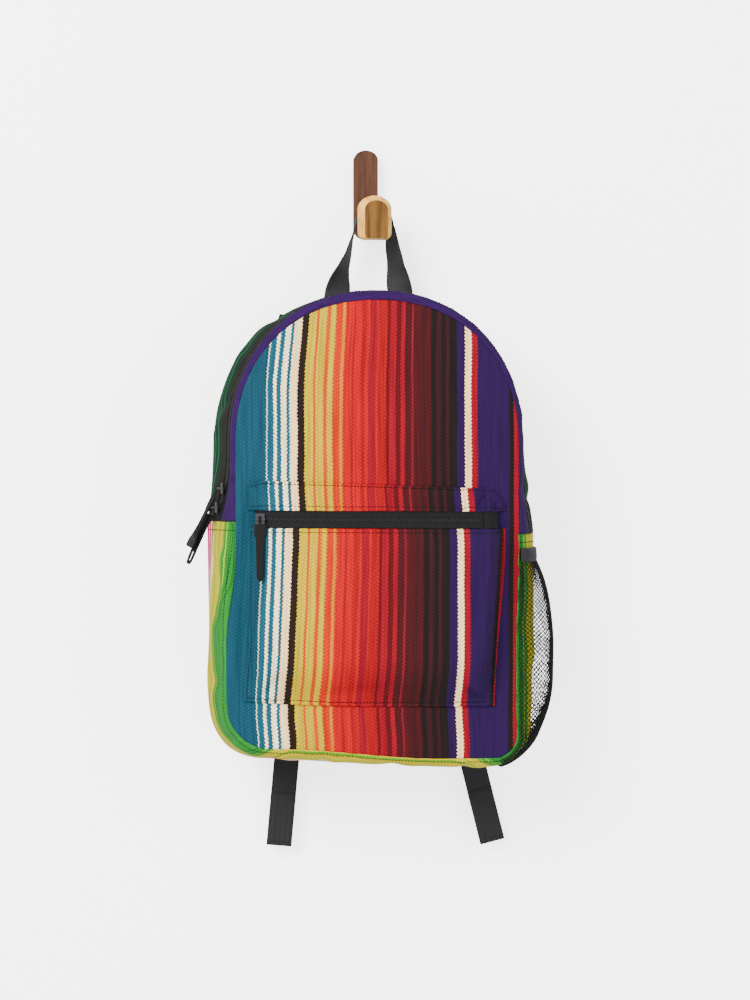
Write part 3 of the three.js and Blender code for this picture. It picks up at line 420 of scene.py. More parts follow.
def webbingCloth(name, hexColour):
    """Polyester webbing: herringbone ribs across its width."""
    material, tree, shader = startMaterial(name, **{"Roughness": 0.62, "Specular IOR Level": 0.2})
    across, along = clothPlace(tree)
    zig = math2(tree, "PINGPONG", across, 2.6)
    rows = math2(tree, "SINE", math2(tree, "MULTIPLY", math2(tree, "ADD", along, zig), 2 * math.pi / 1.3))
    threads = math2(tree, "SINE", math2(tree, "MULTIPLY", across, 2 * math.pi / 0.8))
    height = math2(tree, "ADD", math2(tree, "MULTIPLY_ADD", rows, 0.35, 0.5), math2(tree, "MULTIPLY", threads, 0.12))
    # the colour is darker where the herringbone ribs dip: painted shade that follows the bump
    value = math2(tree, "MULTIPLY_ADD", height, 0.7, 0.55)
    grey = addNode(tree, "CombineColor", links={"Red": value, "Green": value, "Blue": value})
    tree.links.new(blend(tree, "MULTIPLY", 1.0, colour(hexColour), grey.outputs["Color"]), shader.inputs["Base Color"])
    bump = addNode(tree, "Bump", {"Strength": 0.5, "Distance": 0.0004}, {"Height": height})
    tree.links.new(bump.outputs["Normal"], shader.inputs["Normal"])
    return material


def woodGrain(name, dark, light, scale, stretch, rough):
    """Oiled wood: long growth lines along the grain, with short dark pores."""
    material, tree, shader = startMaterial(name, Roughness=rough)
    shader.inputs["Specular IOR Level"].default_value = 0.18
    place = addNode(tree, "TexCoord")
    squeeze = addNode(tree, "Mapping", {"Scale": (scale, scale, scale / stretch)}, {"Vector": place.outputs["Object"]})
    rings = addNode(tree, "TexNoise", {"Scale": 1.0, "Detail": 5.0, "Roughness": 0.6, "Distortion": 0.5},
                    {"Vector": squeeze.outputs["Vector"]})
    pores = addNode(tree, "TexNoise", {"Scale": 6.0, "Detail": 2.0}, {"Vector": squeeze.outputs["Vector"]})
    band = math2(tree, "MULTIPLY_ADD", math2(tree, "SUBTRACT", rings.outputs[0], 0.5), 3.2, 0.5)
    base = blend(tree, "MIX", math2(tree, "MAXIMUM", math2(tree, "MINIMUM", band, 1.0), 0.0), colour(dark), colour(light))
    fleck = math2(tree, "MULTIPLY_ADD", pores.outputs[0], 0.5, 0.74)
    grey = addNode(tree, "CombineColor", links={"Red": fleck, "Green": fleck, "Blue": fleck})
    tree.links.new(blend(tree, "MULTIPLY", 1.0, base, grey.outputs["Color"]), shader.inputs["Base Color"])
    bump = addNode(tree, "Bump", {"Strength": 0.15, "Distance": 0.0003}, {"Height": pores.outputs[0]})
    tree.links.new(bump.outputs["Normal"], shader.inputs["Normal"])
    return material


# Dye colours, as listed. Strong studio light lifts them, so each is deeper than the cloth looks
petrol, teal, ivory, sand, cocoa = "0e3848", "104658", "e8dab0", "e8c48c", "1a0e08"
maize, gold, orange, tangerine, poppy = "a89000", "b06800", "b03c00", "a82000", "9c0408"
red, crimson, garnet, maroon, rust = "840008", "780014", "480408", "38080c", "640c18"
wine, soot, violet = "2a0a10", "120a08", "1c0434"
leaf, fern, moss, lime, sun = "1c6c20", "0c4a16", "4c7c10", "7c9400", "a89600"
magenta, rose, blush, plum = "8c0044", "b80858", "e08090", "3c0026"
pine, forest, bottle, olive = "04281a", "08502e", "061a10", "12140c"
# Stripe widths in mm, charted to the half millimetre, left to right on the front panel
stripeStart = -164
frontStripes = [
    (55, petrol), (1, ivory), (5.5, teal), (3, ivory), (4.5, teal), (5, ivory), (2.5, teal), (7.5, sand), (6.5, cocoa),
    (8, maize), (2, orange), (7, maize), (4, orange), (5, maize), (6.5, tangerine), (2.5, gold), (8, poppy), (2, red),
    (6.5, poppy), (4.5, red), (3, poppy), (7, crimson), (2, poppy), (8.5, red), (2, garnet), (6.5, crimson), (4, garnet),
    (5, crimson), (6, maroon), (2, rust), (8.5, maroon), (3, wine), (5, maroon), (5, soot), (4.5, wine), (4.5, soot),
    (3, wine), (8, soot), (7.5, violet), (6, sand), (6, crimson), (32, violet), (4.5, soot), (8, crimson), (16, violet)]
# From the front seam backwards on the lower gusset
lowerStripes = [
    (1, leaf), (1, fern), (4, leaf), (1, fern), (3.5, leaf), (1.5, lime), (3, leaf), (3.5, moss), (6, sun), (2, lime),
    (4.5, sun), (3, moss), (7.5, sun), (2.5, lime), (6.5, sun), (2, ivory), (2.5, soot), (3, ivory), (2.5, magenta),
    (4, rose), (2, ivory), (3.5, rose), (3, magenta), (5.5, rose), (3, blush), (7, magenta), (5, plum), (4, rose),
    (8, plum), (6, magenta), (60, plum)]
# From the zip backwards on the rear gusset
rearStripes = [
    (9, olive), (1.5, soot), (8, olive), (2, pine), (6, bottle), (2.5, forest), (6, bottle), (2.5, forest), (5, pine),
    (3, forest), (6, pine), (2.5, forest), (9, pine), (3, forest), (40, pine)]
# the weave's depth of shade is painted shade in the colour between the pebbles; it does not change the bump
weave = {"drift": 1.5, "jitter": 1.0, "scallop": 0.42, "pair": 3.5, "column": 3.2, "streak": 0.5, "gapShade": 0.3, "bump": 0.6}
frontCloth = blanketCloth("striped cloth", stripeStart, frontStripes, weave)
lowerCloth = blanketCloth("green and pink striped cloth", 0, lowerStripes, {**weave, "drift": 2.6, "gapShade": 0.14})
rearCloth = blanketCloth("dark green striped cloth", 0, rearStripes, {**weave, "drift": 3.5, "gapShade": 0.4})
purpleCloth = plainCloth("purple cloth", "200438", streak=0.22, weave=1.5)
backCloth = plainCloth("plain black cloth", "101113")
zipCloth = plainCloth("zip tape", "0b0b0c", rough=0.75, weave=1.1)
elasticCloth = webbingCloth("elastic band", "18141a")
handleWebbing = webbingCloth("charcoal webbing", "1c1d1f")
tailWebbing = webbingCloth("black webbing", "0e0e0e")
strapCloth = plainCloth("strap cloth", "0f1011")
netYarn = startMaterial("net yarn", **{"Roughness": 0.6, "Specular IOR Level": 0.15})[0]
netYarn.node_tree.nodes["Principled BSDF"].inputs["Base Color"].default_value = colour("0b0a0b")
darkThread = startMaterial("dark thread", **{"Roughness": 0.7, "Specular IOR Level": 0.1})[0]
darkThread.node_tree.nodes["Principled BSDF"].inputs["Base Color"].default_value = colour("0a090b")
coilNylon = startMaterial("nylon coil", **{"Roughness": 0.42, "Specular IOR Level": 0.22})[0]
coilNylon.node_tree.nodes["Principled BSDF"].inputs["Base Color"].default_value = colour("0a0a0b")
rubber = startMaterial("moulded rubber", **{"Roughness": 0.55, "Specular IOR Level": 0.12})[0]
rubber.node_tree.nodes["Principled BSDF"].inputs["Base Color"].default_value = colour("070708")
sliderMetal = startMaterial("black nickel", Metallic=1.0, Roughness=0.32)[0]
sliderMetal.node_tree.nodes["Principled BSDF"].inputs["Base Color"].default_value = colour("4a4a4e")
lockPlastic = startMaterial("moulded plastic", **{"Roughness": 0.45, "Specular IOR Level": 0.3})[0]
lockPlastic.node_tree.nodes["Principled BSDF"].inputs["Base Color"].default_value = colour("0c0c0d")
walnut = woodGrain("walnut", "2e170b", "452616", 260, 14, 0.5)
tabWood = woodGrain("golden walnut", "3c2205", "684718", 240, 16, 0.38)
paleWood = woodGrain("pale plywood", "a87428", "d8a850", 200, 3, 0.42)
print("materials made")

# ---------------------------------------------------------------- front panel
panelLook = {"thick": 1.5, "around": 300, "rings": 46, "soft": 0.5, "pucker": 0.35}
panelFolds = [
    {"start": (-98, -180), "end": (-60, -262), "deep": 0.7, "wide": 9, "bend": 4},
    {"start": (72, -150), "end": (101, -240), "deep": 0.6, "wide": 8, "bend": -5},
    {"start": (-128, -345), "end": (-131, -470), "deep": 1.1, "wide": 6, "bend": 2},
    {"start": (-118, -508), "end": (-60, -517), "deep": 0.9, "wide": 7, "bend": 2},
    {"start": (10, -520), "end": (95, -524), "deep": 0.8, "wide": 6, "bend": -2},
    {"start": (117, -300), "end": (120, -420), "deep": 0.6, "wide": 5, "bend": 2},
    {"start": (-20, -130), "end": (30, -175), "deep": 0.45, "wide": 10, "bend": 6}]


def panelStripe(x, z):
    """Below the pocket's top the stripes drift left, all but the last ones, and at the top of the arch they fan in."""
    drift = 1.3 - 9.0 * ease((-290 - z) / 190) + 2.0 * ease((-500 - z) / 34)
    drift = drift * (1 - ease((x - 88) / 30)) - 1.0 * ease((x - 88) / 30) * ease((-290 - z) / 200)
    return x - drift - 6.2 * ease((z + 205) / 90) * np.clip((70 - x) / 150, 0, 1.1)


def panelRelief(x, z, edge):
    soft = panelLook["soft"] * wander(x, z, 95, 3) * np.clip(edge / 14, 0, 1)
    return soft + folds(x, z, panelFolds) * np.clip(edge / 6, 0, 1)


def buildPanel(name, wRim, look, relief, stripes):
    half = look["around"] // 2
    loops = np.concatenate([np.linspace(0, 1, half, endpoint=False), np.linspace(1, 2, half, endpoint=False)])
    share = 1 - (1 - np.linspace(0.001, 1, look["rings"]))**1.25
    share[-1] = 1 - seamGap / 2 / 130
    w = share if wRim == 1 else np.sort(3 - share)
    points = skin(loops[:, None], w[None, :])
    rim = skin(loops, np.full(len(loops), float(wRim)))
    edge = np.linalg.norm(points - rim[:, None], axis=-1)
    run = np.cumsum(np.linalg.norm(np.roll(rim, -1, 0) - rim, axis=-1))
    normals = normalsOf(points, closed=True)
    lift = relief(points[..., 0], points[..., 2], edge) + puckers(edge, run[:, None], look["pucker"], 9, 11)
    points = points + normals * lift[..., None]
    uv = np.stack([stripes(points[..., 0], points[..., 2]), points[..., 2]], -1)
    return shell(name, points, normalsOf(points, closed=True), look["thick"], uv, centre=0 if wRim == 1 else -1)


frontPanel = buildPanel("front_panel_cloth", 1, panelLook, panelRelief, panelStripe)
dress(frontPanel, frontCloth, instead=("front_panel",))
print("front panel made")

# ---------------------------------------------------------------- back panel, plain
backLook = {"thick": 1.5, "around": 220, "rings": 26, "pucker": 0.3}
backFolds = [{"start": (-70, -150), "end": (-40, -250), "deep": 0.8, "wide": 10, "bend": 5},
             {"start": (60, -300), "end": (20, -420), "deep": 0.9, "wide": 12, "bend": -6},
             {"start": (-110, -470), "end": (-30, -520), "deep": 1.0, "wide": 9, "bend": 3}]


def backRelief(x, z, edge):
    fade = np.clip(edge / 20, 0, 1)
    return -1.2 * fade + (0.35 * wander(x, z, 80, 5) + 0.6 * folds(x, z, backFolds)) * fade


backPanel = buildPanel("back_panel_cloth", 2, backLook, backRelief, lambda x, z: x)
dress(backPanel, backCloth, instead=("back_panel",))
print("back panel made")


# ---------------------------------------------------------------- strips round the rim
def stripEnd(loop):
    near = np.maximum(ease((0.13 - loop) / 0.13), ease((loop - 0.885) / 0.115))
    return 1 + mix(0.13, 0.30, near)


def zipBack(loop):
    return stripEnd(loop) + 0.115


def buildStrip(name, first, last, wFrom, wTo, look, stripeOffset=lambda q: 0 * q):
    loops = np.linspace(first, last, look["steps"] + 1)
    centre = skin(loops, (wFrom(loops) + wTo(loops)) / 2)
    stepLong = np.linalg.norm(np.diff(centre, axis=0), axis=-1)
    run = np.concatenate([[0], np.cumsum(stepLong)])
    inset = seamGap / 2 / run[-1] * (last - first)
    loops[0] += inset
    loops[-1] -= inset
    share = np.linspace(0, 1, look["rows"] + 1)
    w0, w1 = wFrom(loops)[:, None], wTo(loops)[:, None]
    gap = seamGap / 2 / np.linalg.norm(skin(loops, w0[:, 0]) - skin(loops, w1[:, 0]), axis=-1)[:, None]
    w = mix(w0, w1, np.clip(share[None, :], gap, 1 - gap))
    points = skin(loops[:, None], w)
    across = np.concatenate([np.zeros((len(loops), 1)),
                             np.cumsum(np.linalg.norm(np.diff(points, axis=1), axis=-1), axis=1)], 1)
    normals = normalsOf(points)
    runGrid = np.broadcast_to(run[:, None], across.shape)
    width = across[:, -1:]
    edge = np.minimum(across, width - across)
    lift = look["soft"] * wander(runGrid, across, look["softScale"], look["seed"]) * np.clip(edge / 10, 0, 1)
    lift = lift + folds(runGrid, across, look["folds"]) * np.clip(edge / 4, 0, 1)
    lift = lift + puckers(across, runGrid, look["pucker"], 7, look["seed"] + 1) * np.clip(edge / 1.5, 0, 1)
    lift = lift + puckers(width - across, runGrid, look["pucker"], 7, look["seed"] + 2) * np.clip(edge / 1.5, 0, 1)
    if look.get("roll"):
        lift = lift + look["roll"] * np.sin(np.pi * across / width)
    points = points + normals * lift[..., None]
    uv = np.stack([across + stripeOffset(loops)[:, None], runGrid], -1)
    normals = normalsOf(points)
    piece = shell(name, points, normals, look["thick"], uv)
    return piece, points, normals, run


stripLook = {"thick": 1.5, "steps": 300, "rows": 14, "soft": 0.35, "softScale": 60, "seed": 21, "pucker": 0.45, "roll": 0.9,
             "folds": [{"start": (40, 2), "end": (48, 16), "deep": 0.8, "wide": 4},
                       {"start": (552, 3), "end": (574, 26), "deep": 1.0, "wide": 4, "bend": 1},
                       {"start": (20, 3), "end": (12, 24), "deep": 0.9, "wide": 4, "bend": -1}]}
frontStrip, stripPoints, stripNormals, stripRun = buildStrip(
    "front_strip_cloth", 0, 1, lambda q: np.ones_like(q), stripEnd, stripLook)
dress(frontStrip, purpleCloth, instead=("front_strip",))

zipLook = {"thick": 1.1, "steps": 300, "rows": 8, "soft": 0.15, "softScale": 50, "seed": 31, "pucker": 0.2, "folds": []}
zipTape, zipPoints, zipNormals, zipRun = buildStrip("main_zip_tape", 0, 1, stripEnd, zipBack, zipLook)
dress(zipTape, zipCloth, instead=("main_zip",))

rearLook = {"thick": 1.5, "steps": 260, "rows": 34, "soft": 1.1, "softScale": 75, "seed": 41, "pucker": 0.5,
            "folds": [{"start": (515, 6), "end": (545, 62), "deep": 2.2, "wide": 7, "bend": 4},
                      {"start": (468, 4), "end": (452, 48), "deep": 1.4, "wide": 6, "bend": -3},
                      {"start": (418, 8), "end": (430, 70), "deep": 1.6, "wide": 9, "bend": 5},
                      {"start": (345, 5), "end": (338, 40), "deep": 1.0, "wide": 6},
                      {"start": (262, 10), "end": (280, 66), "deep": 1.3, "wide": 8, "bend": -4},
                      {"start": (176, 4), "end": (160, 55), "deep": 1.6, "wide": 8, "bend": 4},
                      {"start": (96, 6), "end": (120, 60), "deep": 1.4, "wide": 7, "bend": 3},
                      {"start": (40, 5), "end": (22, 58), "deep": 2.0, "wide": 7, "bend": -4}]}
rearGusset, rearPoints, rearNormals, rearRun = buildStrip(
    "rear_gusset_cloth", 0, 1, zipBack, lambda q: np.full_like(q, 2.0), rearLook)
dress(rearGusset, rearCloth, instead=("rear_gusset",))

lowerLook = {"thick": 1.5, "steps": 300, "rows": 44, "soft": 0.9, "softScale": 70, "seed": 51, "pucker": 0.5,
             "folds": [{"start": (18, 14), "end": (60, 60), "deep": 1.6, "wide": 7, "bend": 4},
                       {"start": (92, 3), "end": (84, 46), "deep": 1.2, "wide": 6, "bend": -3},
                       {"start": (150, 6), "end": (163, 84), "deep": 1.8, "wide": 8, "bend": 5},
                       {"start": (212, 2), "end": (205, 36), "deep": 2.0, "wide": 5, "bend": 2},
                       {"start": (246, 4), "end": (262, 70), "deep": 1.6, "wide": 8, "bend": -4},
                       {"start": (310, 2), "end": (304, 30), "deep": 1.5, "wide": 6},
                       {"start": (372, 6), "end": (392, 92), "deep": 1.5, "wide": 9, "bend": 5},
                       {"start": (446, 3), "end": (438, 40), "deep": 1.9, "wide": 6, "bend": -2},
                       {"start": (505, 10), "end": (520, 80), "deep": 1.4, "wide": 9, "bend": 4},
                       {"start": (590, 6), "end": (575, 70), "deep": 1.6, "wide": 8, "bend": -5}]}


def lowerShift(loop):
    # the stripes run outwards down the sides and forwards under the pack
    side = ease((loop - 1.08) / 0.08) * ease((1.35 - loop) / 0.06)
    under = ease((loop - 1.33) / 0.06) * ease((1.68 - loop) / 0.08)
    return 30 * under - 26 * side


lowerGusset, lowerPoints, lowerNormals, lowerRun = buildStrip(
    "lower_gusset_cloth", 1, 2, lambda q: np.ones_like(q), lambda q: np.full_like(q, 2.0), lowerLook, lowerShift)
dress(lowerGusset, lowerCloth, instead=("lower_gusset",))
print("strips made")

# ---------------------------------------------------------------- front pocket
pocketLift = seamGap + 1.6 + 0.15
across = pocket["right"] - pocket["left"]


def pocketRise(x, z):
    def rounded(k):
        return np.sin(np.clip(k, 0, 1) * np.pi / 2)**1.25
    return (pocket["swell"] * rounded((x - pocket["left"] - 3) / 20) * rounded((pocket["right"] - 3 - x) / 17)
            * rounded((pocket["top"] - 3 - z) / 62) * rounded((z - pocket["bottom"] - 3) / 46))


def pocketDrop(u, z):
    """The top seam falls towards the right, and the corners are turned in."""
    high = np.clip((z - pocket["zipTop"]) / (pocket["top"] - pocket["zipTop"]), 0, 1)
    low = np.clip((-440 - z) / 57, 0, 1)
    corners = 15 * np.clip((u - 0.93) / 0.07, 0, 1)**2 + 6 * np.clip((0.06 - u) / 0.06, 0, 1)**2
    return (7 * u + corners) * high + 1.2 * u * (1 - low) - 6.5 * (1 - u)**3 * low


def pocketSkin(u, z):
    leaning = 4.5 * ease((-430 - z) / 70)
    x = mix(pocket["left"] - leaning, pocket["right"] - 10.5 * ease((-331 - z) / 160), u)
    dropped = z - pocketDrop(u, z)
    y = frontY(x, dropped) - pocketLift - pocketRise(mix(pocket["left"], pocket["right"], u), z)
    return np.stack(np.broadcast_arrays(x, y, dropped), -1)


# creases on the pocket, in its own x and z
pocketFolds = [
    {"start": (102, -290), "end": (86, -318), "deep": 2.4, "wide": 3.2, "bend": -1},
    {"start": (108, -300), "end": (103, -322), "deep": 1.8, "wide": 3.0, "bend": 1},
    {"start": (-118, -290), "end": (-104, -301), "deep": 1.6, "wide": 2.6},
    {"start": (-110, -288), "end": (-99, -300), "deep": 1.3, "wide": 2.4},
    {"start": (92, -493), "end": (76, -474), "deep": 2.6, "wide": 3.0, "bend": 1},
    {"start": (-112, -492), "end": (-98, -470), "deep": 2.2, "wide": 3.6, "bend": -1},
    {"start": (-112, -350), "end": (-108, -446), "deep": 1.0, "wide": 5, "bend": 2},
    {"start": (94, -350), "end": (88, -448), "deep": 1.0, "wide": 5, "bend": -2},
    {"start": (-70, -340), "end": (-15, -366), "deep": 0.8, "wide": 9, "bend": 3},
    {"start": (30, -345), "end": (68, -400), "deep": 0.8, "wide": 11, "bend": -5},
    {"start": (-60, -488), "end": (20, -482), "deep": 1.0, "wide": 6, "bend": 3}]


def pocketStripe(x, z, below):
    """The pocket's own cloth lies a little off the panel's stripes."""
    if not below:
        return -79.9 + (x + 77.8) * 157.3 / 152.3
    fall = np.clip((-331 - z) / 160, 0, 1)
    left, right = mix(-84.4, -91.5, fall), mix(67.7, 67.9, fall)
    pattern = -79.9 + (x - left) * 157.3 / (right - left) * (1 + 0.14 * fall * (x < left))
    return pattern + 11 * fall * ease((x - 84) / 22)


def pocketRelief(points, z, seed, topEdge, lowEdge):
    x = points[..., 0]
    side = np.minimum(x - x[0:1], x[-1:] - x)
    edge = np.minimum(side, np.minimum(topEdge - z, z - lowEdge))
    lift = 0.45 * wander(x, z, 62, seed) + folds(x, z, pocketFolds)
    lift = lift * np.clip(edge / 5, 0, 1)
    lift = lift + puckers(side, z, 0.55, 10, seed + 1) * np.clip(edge / 2, 0, 1)
    return lift + puckers(np.minimum(topEdge - z, z - lowEdge), x, 0.4, 8, seed + 2) * np.clip(edge / 2, 0, 1)


def buildPocket(name, top, bottom, first, last, look, below):
    u = (np.linspace(first, last, look["columns"] + 1) - 0)[:, None] / across
    z = np.linspace(top - seamGap / 2, bottom + seamGap / 2, look["rows"] + 1)[None, :]
    points = pocketSkin(u, z)
    normals = -normalsOf(points)
    if normals[..., 1].mean() > 0:
        normals = -normals
    lift = pocketRelief(points, np.broadcast_to(z, points.shape[:2]), look["seed"], top, bottom) * look.get("relief", 1)
    points = points + normals * lift[..., None]
    outward = normalsOf(points)
    flip = outward[..., 1].mean() > 0
    if flip:
        points = points[::-1]
        outward = normalsOf(points)
    uv = np.stack([pocketStripe(points[..., 0], points[..., 2], below), points[..., 2]], -1)
    piece = shell(name, points, outward, look["thick"], uv)
    return piece, points, outward


pocketTopLook = {"thick": 1.4, "columns": 170, "rows": 26, "seed": 61}
pocketTop, pocketTopPoints, pocketTopNormals = buildPocket(
    "pocket_top_cloth", pocket["top"], pocket["zipTop"], 0, across, pocketTopLook, False)
dress(pocketTop, frontCloth, instead=("pocket_top",))

pocketFrontLook = {"thick": 1.4, "columns": 180, "rows": 120, "seed": 71}
pocketFront, pocketFrontPoints, pocketFrontNormals = buildPocket(
    "pocket_front_cloth", pocket["zipBottom"], pocket["bottom"], 0, across, pocketFrontLook, True)
dress(pocketFront, frontCloth, instead=("pocket_front",))

pocketZipLook = {"thick": 1.1, "columns": 160, "rows": 10, "seed": 81, "relief": 0.4}
pocketZip, pocketZipPoints, pocketZipNormals = buildPocket(
    "pocket_zip_tape", pocket["zipTop"], pocket["zipBottom"], pocket["zipFrom"], pocket["zipTo"], pocketZipLook, False)
dress(pocketZip, zipCloth, instead=("pocket_zip",))

tabLook = {"thick": 1.5, "columns": 14, "rows": 10, "seed": 91, "relief": 0.3}
pocketTab, tabPoints, tabNormals = buildPocket(
    "pocket_zip_tab_cloth", pocket["zipTop"], pocket["zipBottom"], pocket["tabFrom"], pocket["tabTo"], tabLook, False)
dress(pocketTab, zipCloth, instead=("pocket_zip_tab",))
print("front pocket made")

# ---------------------------------------------------------------- net pocket on the right side
netLook = {"from": 1.672, "top": 1 + 0.73 + 0.27 * 0.85, "bandTop": 1 + 0.73 + 0.27 * 0.925, "wFrom": 1.006, "wTo": 1.985,
           "lift": 1.75, "cellsAcross": 30, "cellsAlong": 46, "yarn": 1.2, "seed": 17}


def netSwell(u, v):
    fall = 1 - 0.93 * np.clip((u - 0.5) / 0.5, 0, 1)**3
    return 17 * ease(v / 0.3) * ease((1 - v) / 0.34) * ease(u / 0.42) * fall


def bandSwell(u, v):
    return 17 * ease(v / 0.3) * ease((1 - v) / 0.34) * mix(0.06, 0.02, u)


def skinNormal(loop, w):
    along = skin(loop + 2e-3, w) - skin(loop - 2e-3, w)
    over = skin(loop, w + 4e-3) - skin(loop, w - 4e-3)
    n = np.cross(over, along)
    return n / np.linalg.norm(n, axis=-1, keepdims=True)


def netPoint(u, v):
    loop = mix(netLook["from"], netLook["top"], u)
    w = mix(netLook["wFrom"], netLook["wTo"], v)
    sag = 0.5 * wander(u * 150, v * 100, 45, netLook["seed"]) * ease(u / 0.2) * ease((1 - u) / 0.15)
    sag = sag * ease(v / 0.2) * ease((1 - v) / 0.2)
    high = netLook["lift"] + netSwell(u, v) + sag
    return skin(loop, w) + skinNormal(loop, w) * high[..., None]


def buildNet():
    """Diamonds between staggered knots, drawn as yarn. The rows close up towards the elastic."""
    across, along = netLook["cellsAcross"], netLook["cellsAlong"]
    rows, columns = 2 * along + 1, 2 * across + 1
    iu, iv = np.meshgrid(np.arange(rows), np.arange(columns), indexing="ij")
    drift = 0.35 * wander(iu * 1.0, iv * 1.0, 14, 19)
    u = np.clip((iu + drift * (iu > 0) * (iu < rows - 1)) / (rows - 1), 0, 1)
    v = np.clip((iv + 0.6 * drift * (iv > 0) * (iv < columns - 1)) / (columns - 1), 0, 1)
    points = netPoint(u, v).reshape(-1, 3)
    ids = np.arange(rows * columns).reshape(rows, columns)
    faces = []
    for i in range(1, rows - 1):
        for k in range(1, columns - 1):
            if (i + k) % 2:
                faces.append(tuple(int(n) for n in (ids[i - 1, k], ids[i, k - 1], ids[i + 1, k], ids[i, k + 1])))
    used = sorted({n for f in faces for n in f})
    new = {n: i for i, n in enumerate(used)}
    piece = makeMesh("net_pocket_yarn", points[used], [tuple(new[n] for n in f) for f in faces])
    wire = piece.modifiers.new("yarn", "WIREFRAME")
    wire.thickness = netLook["yarn"] * mm
    wire.use_even_offset = False
    wire.use_boundary = True
    return piece


net = buildNet()
dress(net, netYarn, instead=("mesh_pocket",))


bandRows, bandSteps = 44, 10
bandU = np.linspace(0, 1, bandSteps + 1)[:, None]
bandV = np.linspace(0, 1, bandRows + 1)[None, :]
bandLoop = mix(netLook["top"] + 0.0004, netLook["bandTop"], bandU)
bandW = mix(netLook["wFrom"] + 0.001, netLook["wTo"] - 0.001, bandV)
bandHigh = 2.6 + bandSwell(bandU, bandV) + 0.35 * np.sin(bandV * 150 + 1.3 * np.sin(bandV * 31)) * ease(bandU / 0.3) * ease((1 - bandU) / 0.3)
bandPoints = skin(bandLoop, bandW) + skinNormal(bandLoop, bandW) * bandHigh[..., None]
bandAcross = np.broadcast_to(bandU * 12.6, bandHigh.shape)
bandAlong = np.broadcast_to(bandV * 106, bandHigh.shape)
band = shell("net_elastic_band", bandPoints, normalsOf(bandPoints), 1.7, np.stack([bandAcross, bandAlong], -1))
dress(band, elasticCloth, instead=("mesh_elastic",))
print("net pocket made")


# ---------------------------------------------------------------- webbing and straps
def catmull(places, steps):
    """Centripetal spline through the places: points and directions at even steps of its parameter."""
    p = np.asarray(places, float)
    p = np.concatenate([[2 * p[0] - p[1]], p, [2 * p[-1] - p[-2]]])

    def at(t):
        f = t * (len(p) - 3)
        i = min(int(f), len(p) - 4)
        s = f - i
        a, b, c, d = p[i:i + 4]
        t0, t1, t2 = (max(np.sum((m - n)**2)**0.25, 1e-4) for m, n in ((a, b), (b, c), (c, d)))
        m1 = ((b - a) / t0 - (c - a) / (t0 + t1) + (c - b) / t1) * t1
        m2 = ((c - b) / t1 - (d - b) / (t1 + t2) + (d - c) / t2) * t1
        return b + m1 * s + (-3 * b + 3 * c - 2 * m1 - m2) * s**2 + (2 * b - 2 * c + m1 + m2) * s**3
    ts = np.linspace(0, 1, steps + 1)
    return (np.array([at(t) for t in ts]),
            np.array([at(min(1, t + 1e-4)) - at(max(0, t - 1e-4)) for t in ts]))


def beltSection(sides=22, square=0.22):
    """A flat band with softly rounded edges, in shares of half its width and thickness."""
    a = 2 * np.pi * (np.arange(sides) + 0.5) / sides
    return np.stack([np.sign(np.cos(a)) * np.abs(np.cos(a))**0.55, np.sign(np.sin(a)) * np.abs(np.sin(a))**square], -1)


def sweep(name, places, steps, section, wide=25.0, thick=1.6, bend=None):
    """A band along its places. Each place is x, y, z, side x, side y, side z, and may end with wide and thick."""
    rows = np.array([list(q) + [wide, thick][len(q) - 6:] for q in places], float)
    at, tangent = catmull(rows[:, :3], steps)
    share = np.linspace(0, len(rows) - 1, steps + 1)
    side, size = (np.stack([np.interp(share, np.arange(len(rows)), rows[:, k]) for k in ks], -1) for ks in ((3, 4, 5), (6, 7)))
    tangent /= np.linalg.norm(tangent, axis=-1, keepdims=True)
    out = np.cross(tangent, side)
    out /= np.linalg.norm(out, axis=-1, keepdims=True)
    over = np.cross(out, tangent)
    run = np.concatenate([[0], np.cumsum(np.linalg.norm(np.diff(at, axis=0), axis=-1))])
    a, b = section[:, 0][None, :], section[:, 1][None, :]
    lift = 0 if bend is None else bend(run[:, None], a)
    points = (at[:, None] + over[:, None] * (a * size[:, :1] / 2)[..., None]
              + out[:, None] * (b * size[:, 1:] / 2 + lift)[..., None])
    n, m = points.shape[:2]
    ids = np.arange(n * m).reshape(n, m)
    faces = [(int(ids[i, k]), int(ids[i, (k + 1) % m]), int(ids[i + 1, (k + 1) % m]), int(ids[i + 1, k]))
             for i in range(n - 1) for k in range(m)]
    faces += [tuple(int(v) for v in ids[0][::-1]), tuple(int(v) for v in ids[-1])]
    uv = np.stack(np.broadcast_arrays(a * size[:, :1] / 2 + size[:, :1], run[:, None]), -1)
    piece = makeMesh(name, points.reshape(-1, 3), faces, uv=uv.reshape(-1, 2))
    return piece, at, out, over, run


def creases(lines):
    """Cross creases in webbing: place along it, depth and width, stronger at one edge."""
    def bend(run, a):
        total = 0
        for place, deep, wide, tilt in lines:
            total = total + deep * (1 + tilt * a) * np.exp(-((run - place - 3 * tilt * a) / wide)**2)
        return total
    return bend


flatBack = -form["backDepth"] + seamGap + 0.8 + 0.6
armMid = -28.5
overTop = hook["armTop"] + seamGap + 0.8 + 0.3
handlePlaces = [
    (-34, flatBack, -132, 1, 0, 0), (-33, flatBack, -116, 1, 0, 0), (-31, flatBack, -100, 1, 0.06, 0),
    (-24.6, -25.6, -74, 0.5, 0.87, 0), (-17, armMid, -48, 0.14, 1, 0), (-13.2, armMid, -33, 0, 1, 0),
    (-12.2, armMid, -26.5, 0, 1, 0), (-7.8, armMid, overTop + 0.2, 0, 1, 0), (4, armMid, overTop + 0.1, 0, 1, 0),
    (16, armMid, overTop + 0.1, 0, 1, 0), (20.2, armMid, -26.5, -0.05, 1, 0), (21.6, armMid, -34, -0.1, 1, 0),
    (22.6, armMid, -48, -0.36, 0.93, 0), (27, -25.6, -74, -0.6, 0.8, 0), (31.5, flatBack, -100, -1, 0.06, 0),
    (33, flatBack, -116, -1, 0, 0), (34, flatBack, -132, -1, 0, 0)]
